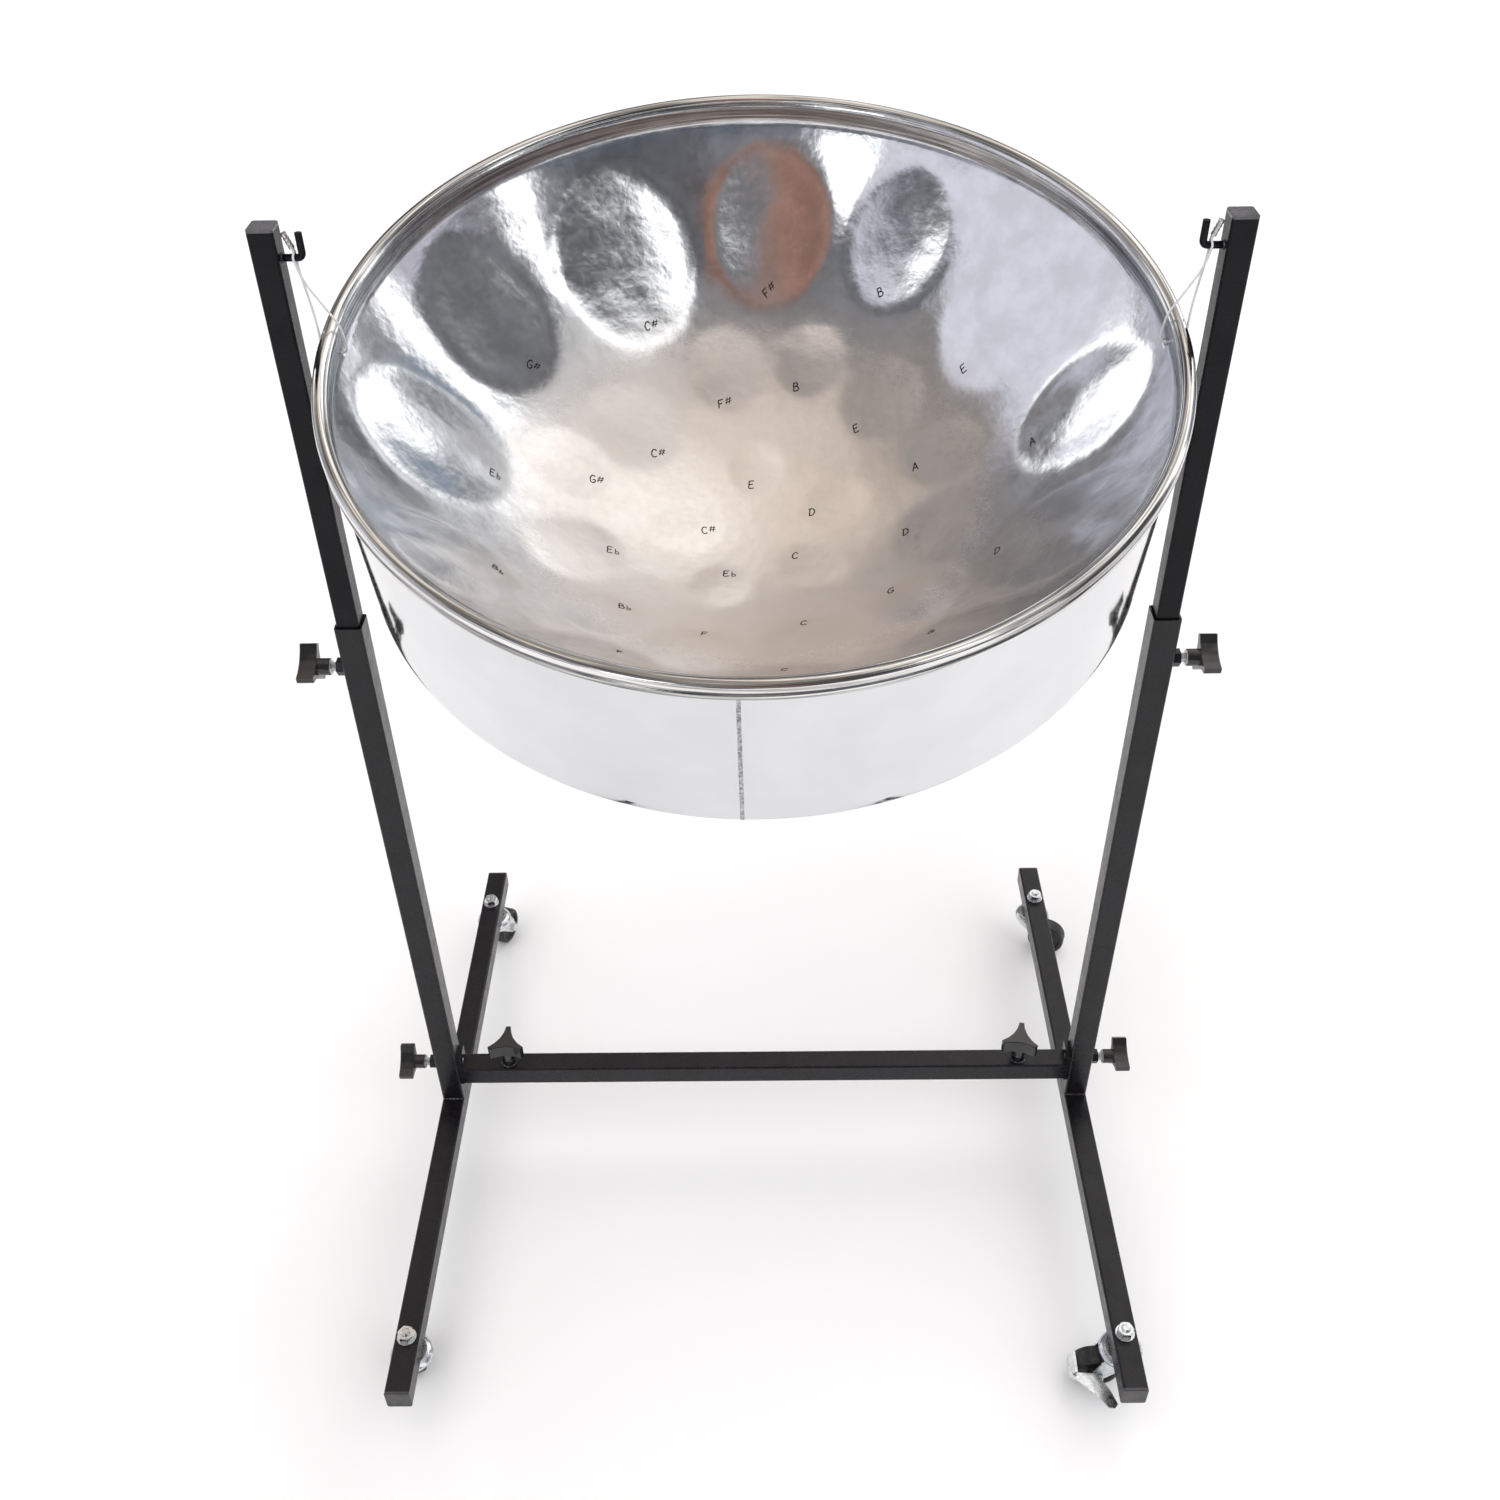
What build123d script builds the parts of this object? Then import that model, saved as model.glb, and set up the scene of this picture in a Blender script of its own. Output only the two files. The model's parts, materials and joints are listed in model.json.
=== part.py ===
from build123d import *
import os
from math import asin, cos, degrees, radians, sin

# A steel pan (sunken, tuned drum head) that hangs on two nylon strings between the
# posts of an adjustable stand on four casters.
# Millimetres. +X runs from the left leg to the right leg, -Y faces the player, +Z is up.
# The origin is on the floor, midway between the two legs and the four casters.

# ---- casters ----
WHEEL_RADIUS = 21.0
WHEEL_WIDTH = 17.0
CASTER_HEIGHT = 55.0
CASTER_TRAIL = 20.0
CASTER_Y = 272.5
# Heading of each wheel about its own swivel axis, degrees from +X.
CASTERS = {
    "front_left": (-1, -1, 112.0),
    "front_right": (1, -1, 178.0),
    "rear_left": (-1, 1, 72.5),
    "rear_right": (1, 1, -20.0),
}
AXLE_RADIUS = 3.0
AXLE_HEAD = (9.0, 2.6)
AXLE_NUT = (10.0, 4.0)
HUB_RADIUS = 6.0
HUB_WIDTH = 19.0
RECESS_RADIUS = 15.5
RECESS_DEPTH = 3.0
TREAD_CHAMFER = 3.0
FORK_SHEET = 2.0
FORK_INSIDE = 9.8
FORK_TOP = 48.0
SWIVEL_RADIUS = 17.5
RACE_RADIUS = 19.5
STEM_RADIUS = 4.0
STEM_HEAD = (6.2, 3.0)
STEM_END = 8.6
WASHER = (8.6, 1.6)
STEM_NUT_HEIGHT = 6.5
BALL_RADIUS = 2.2
BALL_RING = 12.0
BALLS = 10
RACE_SHEET = 2.0
RUNNING_GAP = 0.3
RUNNING_FIT = 0.06
BRAKED_CASTER = "front_right"
BRAKE_SHEET = 2.0
BRAKE_TAB_RADIUS = 22.0

# ---- stand ----
TUBE = 22.0
WALL = 1.5
CORNER = 2.0
LEG_X = 319.5
FOOT_LENGTH = 650.0
CAP_THICKNESS = 2.5
PLUG_DEPTH = 10.0
LOWER_POST_LENGTH = 584.0
UPPER_TUBE = 18.0
UPPER_POST_SHOWN = 312.0
UPPER_POST_HIDDEN = 250.0
CROSSBAR_HEIGHT = 35.0
CROSSBAR_HALF = 304.5
STUB_END = 190.0
PLATE_TOP = 59.0

# ---- clamp knobs (M8) ----
SCREW_RADIUS = 4.0
NUT_WIDTH = 13.0
NUT_HEIGHT = 7.0
KNOB_HUB_RADIUS = 7.0
KNOB_HUB_LENGTH = 10.5
KNOB_HEAD_LENGTH = 14.0
KNOB_REACH = 19.0
STUD_GRIP = 6.0
TIP_GAP = 0.2
LEG_KNOB_TURN = 7.0
TOP_KNOB_HEADINGS = {"left": 90.0, "right": 78.0}
SIDE_KNOB_GAP = 4.8
TOP_KNOB_GAP = 0.4
UPPER_KNOB_HEIGHT = 541.0
LOWER_KNOB_HEIGHT = 47.0
TOP_KNOB_X = 257.5

# ---- hooks and strings ----
HOOK_RADIUS = 2.5
HOOK_BELOW_TOP = 22.0
HOOK_TIP_X = 296.7
HOOK_TIP_RISE = 16.6
HOOK_BEND = 3.4
STRING_RADIUS = 0.8
STRING_X = 302.5
STRING_HOLE_RADIUS = 1.4
SLEEVE_SIZE = (5.0, 4.0, 11.0)
SLEEVE_RISE = 6.5
SLEEVE_LEAN = 22.0
SLEEVE_BORE_Y = 1.0
SLEEVE_GROOVES = 3
GROOVE_DEPTH = 0.35
GROOVE_WIDTH = 1.2
STRING_END_INSET = 1.0
STRING_END_SHOWN = 2.5

# ---- pan ----
RIM_RADIUS = 294.4
RIM_HEIGHT = 821.3
PAN_TILT = 16.0
CHIME_INNER = 285.5
CHIME_DEPTH = 13.5
SKIRT_RADIUS = 289.0
SKIRT_DEPTH = 146.6
SHEET = 1.2
BOWL_SHEET = 1.0
FLANGE_DEPTH = 18.0
BOWL_DEPTH = 186.0
HOLE_DEPTH = 19.0
SEAM_X = -9.0
SEAM_WIDTH = 3.2
SEAM_RISE = 0.5

FOOT_TOP = CASTER_HEIGHT + TUBE
CROSSBAR_Z = FOOT_TOP + CROSSBAR_HEIGHT
LOWER_POST_TOP = FOOT_TOP + LOWER_POST_LENGTH
UPPER_POST_TOP = LOWER_POST_TOP + UPPER_POST_SHOWN
UPPER_KNOB_Z = FOOT_TOP + UPPER_KNOB_HEIGHT
LOWER_KNOB_Z = FOOT_TOP + LOWER_KNOB_HEIGHT
HOOK_Z = UPPER_POST_TOP - HOOK_BELOW_TOP
SLEEVE_Z = HOOK_Z + SLEEVE_RISE
SIDES = {"left": -1, "right": 1}


def save(shape, node):
    export_step(shape, f"parts/{node}.step")


def rod(start, end, radius):
    """A cylinder between two points."""
    start, end = Vector(start), Vector(end)
    plane = Plane(origin=start, z_dir=end - start)
    return extrude(plane * Circle(radius), (end - start).length)


def square_tube(size, start, end, wall=WALL):
    """A square tube between two points on a line parallel to an axis."""
    start, end = Vector(start), Vector(end)
    along = end - start
    x_dir = (0, 1, 0) if abs(along.X) > 0 else (1, 0, 0)
    plane = Plane(origin=start, x_dir=x_dir, z_dir=along)
    outline = RectangleRounded(size, size, CORNER)
    outline -= RectangleRounded(size - 2 * wall, size - 2 * wall, CORNER - wall + 0.2)
    return extrude(plane * outline, along.length)


def hex_prism(plane, width, height):
    """A hexagonal bolt head with its seat on the plane."""
    return extrude(plane * RegularPolygon(width / 2, 6, major_radius=False), height)


def hex_nut(plane, width, height, bore):
    """A hexagonal nut with its seat on the plane."""
    return hex_prism(plane, width, height) - extrude(plane * Circle(bore), height)


def side_plate(outline, low_y, high_y):
    """A plate between two Y values, with its outline drawn in the XZ plane."""
    return extrude(Plane.XZ.offset(-high_y) * outline, high_y - low_y)


def turned(*points):
    """A body of revolution about Z from (radius, height) points."""
    outline = make_face(Plane.XZ * Polyline(*points, close=True))
    return revolve(outline, Axis.Z)


# ---------------------------------------------------------------- casters
def caster_wheel():
    """One-piece moulded wheel about the Y axis, centred on the origin."""
    half, hub = WHEEL_WIDTH / 2, HUB_WIDTH / 2
    recess, edge = half - RECESS_DEPTH, half - TREAD_CHAMFER
    one_side = [
        (WHEEL_RADIUS, edge), (WHEEL_RADIUS - 0.4, half - 1.2), (WHEEL_RADIUS - 1.6, half),
        (RECESS_RADIUS + 1, half), (RECESS_RADIUS, recess), (HUB_RADIUS + 0.8, recess),
        (HUB_RADIUS, hub), (AXLE_RADIUS + RUNNING_FIT, hub)]
    other_side = [(radius, -height) for radius, height in reversed(one_side)]
    return Rot(90, 0, 0) * turned(*one_side, *other_side)


def caster_fork():
    """Pressed fork: a round swivel plate and two tapering legs, wheel towards +X."""
    outline = make_face(Polyline(
        (-12.5, FORK_TOP), (-12.5, 44), (-3, 36), (14.5, 17.5), (25.5, 17.5), (24, 30),
        (17.5, 43), (12.5, FORK_TOP), close=True))
    outline += Pos(CASTER_TRAIL, WHEEL_RADIUS) * Circle(6.6)
    outline -= Pos(CASTER_TRAIL, WHEEL_RADIUS) * Circle(AXLE_RADIUS)
    fork = Pos(0, 0, FORK_TOP - FORK_SHEET) * extrude(Circle(SWIVEL_RADIUS), FORK_SHEET)
    fork += side_plate(outline, FORK_INSIDE, FORK_INSIDE + FORK_SHEET)
    fork += side_plate(outline, -FORK_INSIDE - FORK_SHEET, -FORK_INSIDE)
    return fork - rod((0, 0, FORK_TOP - 5), (0, 0, FORK_TOP + 5), STEM_RADIUS + RUNNING_FIT)


def caster_axle(braked):
    """Shoulder bolt through both legs with a head at one end and a nut at the other."""
    outside = FORK_INSIDE + FORK_SHEET
    far = outside + (BRAKE_SHEET + 2 * RUNNING_GAP if braked else 0)
    head_seat = Plane((0, -outside, 0), z_dir=(0, -1, 0))
    nut_seat = Plane((0, far, 0), z_dir=(0, 1, 0))
    axle = rod((0, -outside, 0), (0, far + AXLE_NUT[1] + 1.2, 0), AXLE_RADIUS)
    axle += hex_prism(head_seat, *AXLE_HEAD)
    axle += hex_prism(nut_seat, *AXLE_NUT)
    return Pos(CASTER_TRAIL, 0, WHEEL_RADIUS) * axle


def caster_race():
    """Fixed upper cup of the swivel bearing, bolted under the foot bar."""
    top, bore, skirt_inner = CASTER_HEIGHT, STEM_RADIUS + 0.2, RACE_RADIUS - 1.6
    return turned(
        (bore, top), (14.5, top), (16.8, top - 0.9), (RACE_RADIUS, top - 3.4),
        (RACE_RADIUS, top - 6.4), (skirt_inner, top - 6.4), (skirt_inner, top - 3.6),
        (16.0, top - RACE_SHEET), (bore, top - RACE_SHEET))


def bearing_balls():
    """One ring of balls between the fork plate and the race."""
    height = (FORK_TOP + CASTER_HEIGHT - RACE_SHEET) / 2
    spots = PolarLocations(BALL_RING, BALLS)
    return [Pos(0, 0, height) * spot * Sphere(BALL_RADIUS) for spot in spots]


def stem_bolt():
    """M8 stem from below the fork to above the foot bar, with a rounded end."""
    head_top, shank_top = FORK_TOP - FORK_SHEET - RUNNING_GAP, FOOT_TOP + STEM_END
    head_radius, head_height = STEM_HEAD
    bolt = rod((0, 0, head_top - head_height), (0, 0, head_top), head_radius)
    bolt += rod((0, 0, head_top - head_height), (0, 0, shank_top), STEM_RADIUS)
    tip = extrude(Pos(0, 0, shank_top) * Circle(STEM_RADIUS), 1.6, taper=38)
    return bolt + tip


def stem_washer():
    radius, thickness = WASHER
    washer = extrude(Circle(radius) - Circle(STEM_RADIUS + 0.2), thickness)
    return Pos(0, 0, FOOT_TOP) * washer


def stem_nut():
    """Hexagonal nut with its upper corners turned off."""
    seat = Plane((0, 0, FOOT_TOP + WASHER[1]))
    top, flat = STEM_NUT_HEIGHT, NUT_WIDTH / 2
    nut = hex_nut(seat, NUT_WIDTH, top, STEM_RADIUS)
    cone = turned((0, 0), (flat + 2.5, 0), (flat + 2.5, top - 1.5), (flat - 0.2, top), (0, top))
    return nut & (seat.location * cone)


def brake_lever():
    """Pressed side pedal that turns about the axle; its tab lies across the tread."""
    near = FORK_INSIDE + FORK_SHEET + RUNNING_GAP
    far = near + BRAKE_SHEET
    centre = Pos(CASTER_TRAIL, WHEEL_RADIUS)
    cheek = make_face(Polyline((14, 16), (26, 14.4), (44.6, 22), (44.6, 30), (30, 30), (14, 26),
                               close=True))
    cheek += centre * Circle(6.4)
    cheek -= centre * Circle(AXLE_RADIUS + RUNNING_FIT)
    lever = side_plate(cheek, near, far)
    band = centre * (Circle(BRAKE_TAB_RADIUS + BRAKE_SHEET) - Circle(BRAKE_TAB_RADIUS))
    band &= make_face(Polyline((40, 22), (60, 22), (60, 34), (36, 34), close=True))
    lever += side_plate(band, -6.0, far)
    pedal = make_face(Polyline(
        (43.0, near), (44.2, near + 3), (33, 24), (22.5, 34), (14, 44), (8.5, 44.5),
        (5.5, 40.5), (10.5, 28), (17.5, near + 5), (20, near), close=True))
    lever += Pos(0, 0, 28) * extrude(pedal, BRAKE_SHEET)
    return lever


def caster_place(name):
    """Location of a caster: on the floor under its stem, turned to its heading."""
    x_side, y_side, heading = CASTERS[name]
    return Pos(x_side * LEG_X, y_side * CASTER_Y, 0) * Rot(0, 0, heading)


def save_casters():
    fixed = {"caster_races": [], "caster_stem_bolts": [], "caster_washers": [],
             "caster_nuts": [], "caster_bearing_balls": []}
    for name in CASTERS:
        place = caster_place(name)
        braked = name == BRAKED_CASTER
        wheel = Pos(CASTER_TRAIL, 0, WHEEL_RADIUS) * caster_wheel()
        save(place * wheel, f"{name}_wheel")
        save(place * caster_fork(), f"{name}_fork")
        save(place * caster_axle(braked), f"{name}_axle")
        if braked:
            save(place * brake_lever(), f"{name}_brake_lever")
        fixed["caster_races"].append(place * caster_race())
        fixed["caster_stem_bolts"].append(place * stem_bolt())
        fixed["caster_washers"].append(place * stem_washer())
        fixed["caster_nuts"].append(place * stem_nut())
        fixed["caster_bearing_balls"] += [place * ball for ball in bearing_balls()]
    for node, solids in fixed.items():
        save(Compound(children=solids), node)


# ---------------------------------------------------------------- stand
def foot_bar(side):
    """Level open-ended tube from front to back with a stem hole near each end."""
    x, half = side * LEG_X, FOOT_LENGTH / 2 - CAP_THICKNESS
    z = CASTER_HEIGHT + TUBE / 2
    bar = square_tube(TUBE, (x, -half, z), (x, half, z))
    for y in (-CASTER_Y, CASTER_Y):
        bar -= rod((x, y, CASTER_HEIGHT - 1), (x, y, FOOT_TOP + 1), STEM_RADIUS + 0.2)
    return bar


def tube_plug(size, wall, thickness, depth):
    """Moulded end cap: a cover plate with a plug that goes down into the tube."""
    cover = extrude(RectangleRounded(size, size, CORNER), thickness)
    cover = chamfer(cover.faces().sort_by(Axis.Z)[-1].edges(), 0.7)
    inside = size - 2 * wall - 0.1
    plug = extrude(RectangleRounded(inside, inside, 0.8), -depth)
    return cover + plug


def foot_end_caps():
    z, half = CASTER_HEIGHT + TUBE / 2, FOOT_LENGTH / 2 - CAP_THICKNESS
    caps = []
    for x_side in (-1, 1):
        for y_side in (-1, 1):
            plane = Plane((x_side * LEG_X, y_side * half, z), x_dir=(1, 0, 0),
                          z_dir=(0, y_side, 0))
            caps.append(plane.location * tube_plug(TUBE, WALL, CAP_THICKNESS, PLUG_DEPTH))
    return Compound(children=caps)


def lower_post(side):
    """Upright tube with the two holes that the side clamp screws pass through."""
    x = side * LEG_X
    post = square_tube(TUBE, (x, 0, FOOT_TOP), (x, 0, LOWER_POST_TOP))
    hole = SCREW_RADIUS + 0.3
    post -= rod((x, 0, UPPER_KNOB_Z), (x + side * TUBE, 0, UPPER_KNOB_Z), hole)
    inner, outer = x - side * TUBE, x + side * TUBE
    return post - rod((inner, 0, LOWER_KNOB_Z), (outer, 0, LOWER_KNOB_Z), hole)


def upper_post(side):
    x = side * LEG_X
    low = LOWER_POST_TOP - UPPER_POST_HIDDEN
    return square_tube(UPPER_TUBE, (x, 0, low), (x, 0, UPPER_POST_TOP - CAP_THICKNESS))


def post_cap(side):
    plane = Plane((side * LEG_X, 0, UPPER_POST_TOP - CAP_THICKNESS))
    return plane.location * tube_plug(UPPER_TUBE, WALL, CAP_THICKNESS, PLUG_DEPTH)


def hook(side):
    """Round bar from the post's inner face, bent up at its end."""
    start = side * (LEG_X - UPPER_TUBE / 2)
    tip = side * HOOK_TIP_X
    line = FilletPolyline((start, 0, HOOK_Z), (tip, 0, HOOK_Z),
                          (tip, 0, HOOK_Z + HOOK_TIP_RISE), radius=[HOOK_BEND])
    return sweep(Plane(line @ 0, z_dir=line % 0) * Circle(HOOK_RADIUS), path=line)


def crossbar():
    half = CROSSBAR_HALF
    bar = square_tube(TUBE, (-half, 0, CROSSBAR_Z), (half, 0, CROSSBAR_Z))
    for x in (-TOP_KNOB_X, TOP_KNOB_X):
        bar -= rod((x, 0, CROSSBAR_Z), (x, 0, CROSSBAR_Z + TUBE), SCREW_RADIUS + 0.3)
    return bar


def crossbar_stub(side):
    """Telescoping end of the crossbar: an inner tube welded to a tapped end plate."""
    inner_face = LEG_X - TUBE / 2
    tube = square_tube(UPPER_TUBE, (side * STUB_END, 0, CROSSBAR_Z),
                       (side * CROSSBAR_HALF, 0, CROSSBAR_Z))
    low, high = CROSSBAR_Z - TUBE / 2, FOOT_TOP + PLATE_TOP
    thickness = inner_face - CROSSBAR_HALF
    plate = Pos(side * (CROSSBAR_HALF + thickness / 2), 0, (low + high) / 2)
    plate *= Box(thickness, TUBE, high - low)
    tapped = rod((side * STUB_END, 0, LOWER_KNOB_Z), (side * LEG_X, 0, LOWER_KNOB_Z),
                 SCREW_RADIUS + RUNNING_FIT)
    return tube + (plate - tapped)


# ---------------------------------------------------------------- clamp knobs
def knob_grip():
    """Three-winged grip on a round hub, seat on the XY plane, screw axis along Z."""
    wings = []
    for turn in (0, 120, 240):
        wings.append(Rot(0, 0, turn) * make_face(Polyline(
            (0, 9.4), (4.6, 6.4), (11.5, 3.6), (KNOB_REACH, 2.3), (KNOB_REACH, -2.3),
            (11.5, -3.6), (4.6, -6.4), (0, -9.4), close=True)))
    star = wings[0] + wings[1] + wings[2]
    head = Pos(0, 0, KNOB_HUB_LENGTH) * extrude(star, KNOB_HEAD_LENGTH)
    head = chamfer(head.faces().sort_by(Axis.Z)[-1].edges(), 0.6)
    hub = extrude(Circle(KNOB_HUB_RADIUS), KNOB_HUB_LENGTH)
    hub = chamfer(hub.faces().sort_by(Axis.Z)[0].edges(), 0.8)
    grip = head + hub
    return grip - rod((0, 0, -1), (0, 0, KNOB_HUB_LENGTH + STUD_GRIP), SCREW_RADIUS)


def knob_stud(reach):
    """Screw moulded into the grip; it reaches out of the hub and presses with its tip."""
    return rod((0, 0, KNOB_HUB_LENGTH + STUD_GRIP), (0, 0, -reach), SCREW_RADIUS)


def knob_places():
    """Name to (seat plane on the tube, gap from nut to hub, screw length past the nut)."""
    outer = LEG_X + TUBE / 2
    turn = radians(LEG_KNOB_TURN)
    through_wall = WALL + (TUBE - 2 * WALL - UPPER_TUBE) / 2 - TIP_GAP
    through_post = TUBE / 2 + LEG_X - CROSSBAR_HALF - TIP_GAP
    top = CROSSBAR_Z + TUBE / 2
    places = {}
    for name, side in SIDES.items():
        out = (side, 0, 0)
        # x_dir points along the first wing
        places[f"{name}_mast_knob"] = (
            Plane((side * outer, 0, UPPER_KNOB_Z), x_dir=(0, -1, 0), z_dir=out),
            SIDE_KNOB_GAP, through_wall)
        leg_wing = (0, -cos(turn), side * sin(turn))
        places[f"{name}_leg_knob"] = (
            Plane((side * outer, 0, LOWER_KNOB_Z), x_dir=leg_wing, z_dir=out),
            SIDE_KNOB_GAP, through_post)
        heading = radians(TOP_KNOB_HEADINGS[name])
        top_wing = (cos(heading), sin(heading), 0)
        places[f"{name}_crossbar_knob"] = (
            Plane((side * TOP_KNOB_X, 0, top), x_dir=top_wing, z_dir=(0, 0, 1)),
            TOP_KNOB_GAP, through_wall)
    return places


def save_knobs():
    nuts = []
    for name, (seat, gap, past_nut) in knob_places().items():
        nuts.append(hex_nut(seat, NUT_WIDTH, NUT_HEIGHT, SCREW_RADIUS + RUNNING_FIT))
        hub_seat = seat.offset(NUT_HEIGHT + gap).location
        save(hub_seat * knob_grip(), f"{name}_grip")
        save(hub_seat * knob_stud(gap + NUT_HEIGHT + past_nut), f"{name}_stud")
    save(Compound(children=nuts), "weld_nuts")


# ---------------------------------------------------------------- pan
def chime():
    """Folded rim that joins the drum head to the skirt, in the pan's own frame."""
    low = -CHIME_DEPTH
    return turned(
        (CHIME_INNER, low), (CHIME_INNER, -2.6), (286.6, -1.0), (288.6, -0.2), (290.6, 0),
        (292.8, -0.9), (RIM_RADIUS, -3.0), (RIM_RADIUS, -6.2), (293.2, -7.6), (RIM_RADIUS, -9.0),
        (RIM_RADIUS, -12.2), (293.4, low))


def skirt():
    low, high = -SKIRT_DEPTH, -CHIME_DEPTH
    inner = SKIRT_RADIUS - SHEET
    return turned((inner, low), (SKIRT_RADIUS, low), (SKIRT_RADIUS, high), (inner, high))


def bowl():
    """Sunken drum head: a short upright flange inside the rim and a spherical bowl."""
    flange = CHIME_INNER
    inner = flange - BOWL_SHEET
    rise = BOWL_DEPTH - FLANGE_DEPTH
    dish = (flange ** 2 + rise ** 2) / (2 * rise)
    dish_top = dish - BOWL_DEPTH
    reach = asin(flange / dish)
    outline = ThreePointArc(
        (flange, -FLANGE_DEPTH),
        (dish * sin(reach / 2), dish_top - dish * cos(reach / 2)),
        (0, -BOWL_DEPTH))
    hollow = dish - BOWL_SHEET
    edge = asin(inner / hollow)
    edge_height = dish_top - hollow * cos(edge)
    outline += Line((0, -BOWL_DEPTH), (0, dish_top - hollow))
    outline += ThreePointArc(
        (0, dish_top - hollow),
        (hollow * sin(edge / 2), dish_top - hollow * cos(edge / 2)),
        (inner, edge_height))
    outline += Polyline((inner, edge_height), (inner, -2.6), (flange, -2.6),
                        (flange, -FLANGE_DEPTH))
    return revolve(Plane.XZ * make_face(outline), Axis.Z)


def weld_seam():
    """Raised weld line down the front of the skirt, a little left of the middle."""
    span = degrees(SEAM_WIDTH / SKIRT_RADIUS)
    outline = make_face(Plane.XZ * Polyline(
        (SKIRT_RADIUS, -SKIRT_DEPTH), (SKIRT_RADIUS + SEAM_RISE, -SKIRT_DEPTH),
        (SKIRT_RADIUS + SEAM_RISE, -CHIME_DEPTH), (SKIRT_RADIUS, -CHIME_DEPTH), close=True))
    strip = revolve(outline, Axis.Z, span)
    start = -90 + degrees(asin(SEAM_X / SKIRT_RADIUS)) - span / 2
    return Rot(0, 0, start) * strip


def pan_centre_y(pieces):
    """The pan hangs free, so its centre of gravity lies under the hooks at y = 0."""
    total = sum(piece.volume for piece in pieces)
    height = sum(piece.center(CenterOf.MASS).Z * piece.volume for piece in pieces) / total
    return height * sin(radians(PAN_TILT))


def hang_string(side, hole_z):
    """Nylon loop: from the crimp sleeve past both sides of the hook, down to the two holes.

    One strand goes down outside the rim and in through the skirt, and the other goes
    over the rim and down inside the bowl; they join between the two walls.
    """
    x, apart = STRING_X, SLEEVE_BORE_Y
    beside = HOOK_RADIUS + STRING_RADIUS + 2 * RUNNING_GAP
    end_x, end_z = along_sleeve(SLEEVE_SIZE[2] - STRING_END_INSET)
    low_x, low_z = along_sleeve(-STRING_END_SHOWN)
    points = [
        (end_x, apart, end_z), (low_x, apart, low_z), (x, beside, HOOK_Z + 1.2),
        (x - 0.4, beside - 0.9, HOOK_Z - 8), (297.0, 1.0, hole_z + 24), (296.6, 0.3, hole_z + 3),
        (294.0, 0.0, hole_z), (279.2, 0.0, hole_z), (279.6, 0.0, hole_z + 9),
        (281.2, -0.6, hole_z + 20), (x - 3.2, -beside + 1.6, HOOK_Z - 15),
        (x, -beside, HOOK_Z + 1.2), (low_x, -apart, low_z), (end_x, -apart, end_z)]
    points = [(side * px, py, pz) for px, py, pz in points]
    line = FilletPolyline(*points, radius=corner_radii(points))
    return sweep(Plane(line @ 0, z_dir=line % 0) * Circle(STRING_RADIUS), path=line)


def along_sleeve(height):
    """(x, z) on the right sleeve's leaning axis, at a height above its lower end."""
    lean = radians(SLEEVE_LEAN)
    return STRING_X + height * sin(lean), SLEEVE_Z + height * cos(lean)


def corner_radii(points):
    """Arc at each corner: 0.45 of the shorter run over the tangent of half the turn."""
    radii = []
    for before, here, after in zip(points, points[1:], points[2:]):
        run_in, run_out = Vector(here) - Vector(before), Vector(after) - Vector(here)
        half_turn = radians(run_in.get_angle(run_out)) / 2
        shorter = min(run_in.length, run_out.length)
        radii.append(0.45 * shorter * cos(half_turn) / sin(half_turn))
    print("string radii, mm:", [round(radius, 1) for radius in radii])
    return radii


def crimp_sleeve(side):
    """Flattened aluminium sleeve with pressed grooves, over the two string ends."""
    width, depth, length = SLEEVE_SIZE
    sleeve = extrude(Ellipse(width / 2, depth / 2), length)
    neck = Ellipse(width / 2 - GROOVE_DEPTH, depth / 2 - GROOVE_DEPTH)
    ring = extrude(Circle(width) - neck, GROOVE_WIDTH)
    for number in range(SLEEVE_GROOVES):
        height = length * (number + 1) / (SLEEVE_GROOVES + 1) - GROOVE_WIDTH / 2
        sleeve -= Pos(0, 0, height) * ring
    for x in (-SLEEVE_BORE_Y, SLEEVE_BORE_Y):
        sleeve -= Pos(x, 0, -1) * extrude(Circle(STRING_RADIUS + 0.05), length)
    stand = Pos(side * STRING_X, 0, SLEEVE_Z) * Rot(0, side * SLEEVE_LEAN, 0)
    return stand * Rot(0, 0, 90) * sleeve


def save_pan():
    rim, wall, dish, seam = chime(), skirt(), bowl(), weld_seam()
    centre_y = pan_centre_y([rim, wall, dish])
    tilt = radians(PAN_TILT)
    place = Pos(0, centre_y, FOOT_TOP + RIM_HEIGHT) * Rot(PAN_TILT, 0, 0)
    # the holes lie under the hooks, HOLE_DEPTH below the rim
    along = (-centre_y - HOLE_DEPTH * sin(tilt)) / cos(tilt)
    hole_z = FOOT_TOP + RIM_HEIGHT + along * sin(tilt) - HOLE_DEPTH * cos(tilt)
    print("pan centre y %.2f, string hole z %.2f" % (centre_y, hole_z))
    wall, dish = place * wall, place * dish
    for side in SIDES.values():
        drill = rod((side * 270, 0, hole_z), (side * 300, 0, hole_z), STRING_HOLE_RADIUS)
        wall -= drill
        dish -= drill
    save(place * rim, "chime_rim")
    save(wall, "pan_skirt")
    save(dish, "pan_bowl")
    save(place * seam, "skirt_weld_seam")
    for name, side in SIDES.items():
        save(hang_string(side, hole_z), f"{name}_hang_string")
        save(crimp_sleeve(side), f"{name}_crimp_sleeve")


def save_stand():
    for name, side in SIDES.items():
        save(foot_bar(side), f"{name}_foot_bar")
        save(lower_post(side), f"{name}_lower_post")
        save(upper_post(side), f"{name}_upper_post")
        save(post_cap(side), f"{name}_post_cap")
        save(hook(side), f"{name}_hook")
        save(crossbar_stub(side), f"{name}_crossbar_stub")
    save(crossbar(), "crossbar")
    save(foot_end_caps(), "foot_end_caps")


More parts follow.
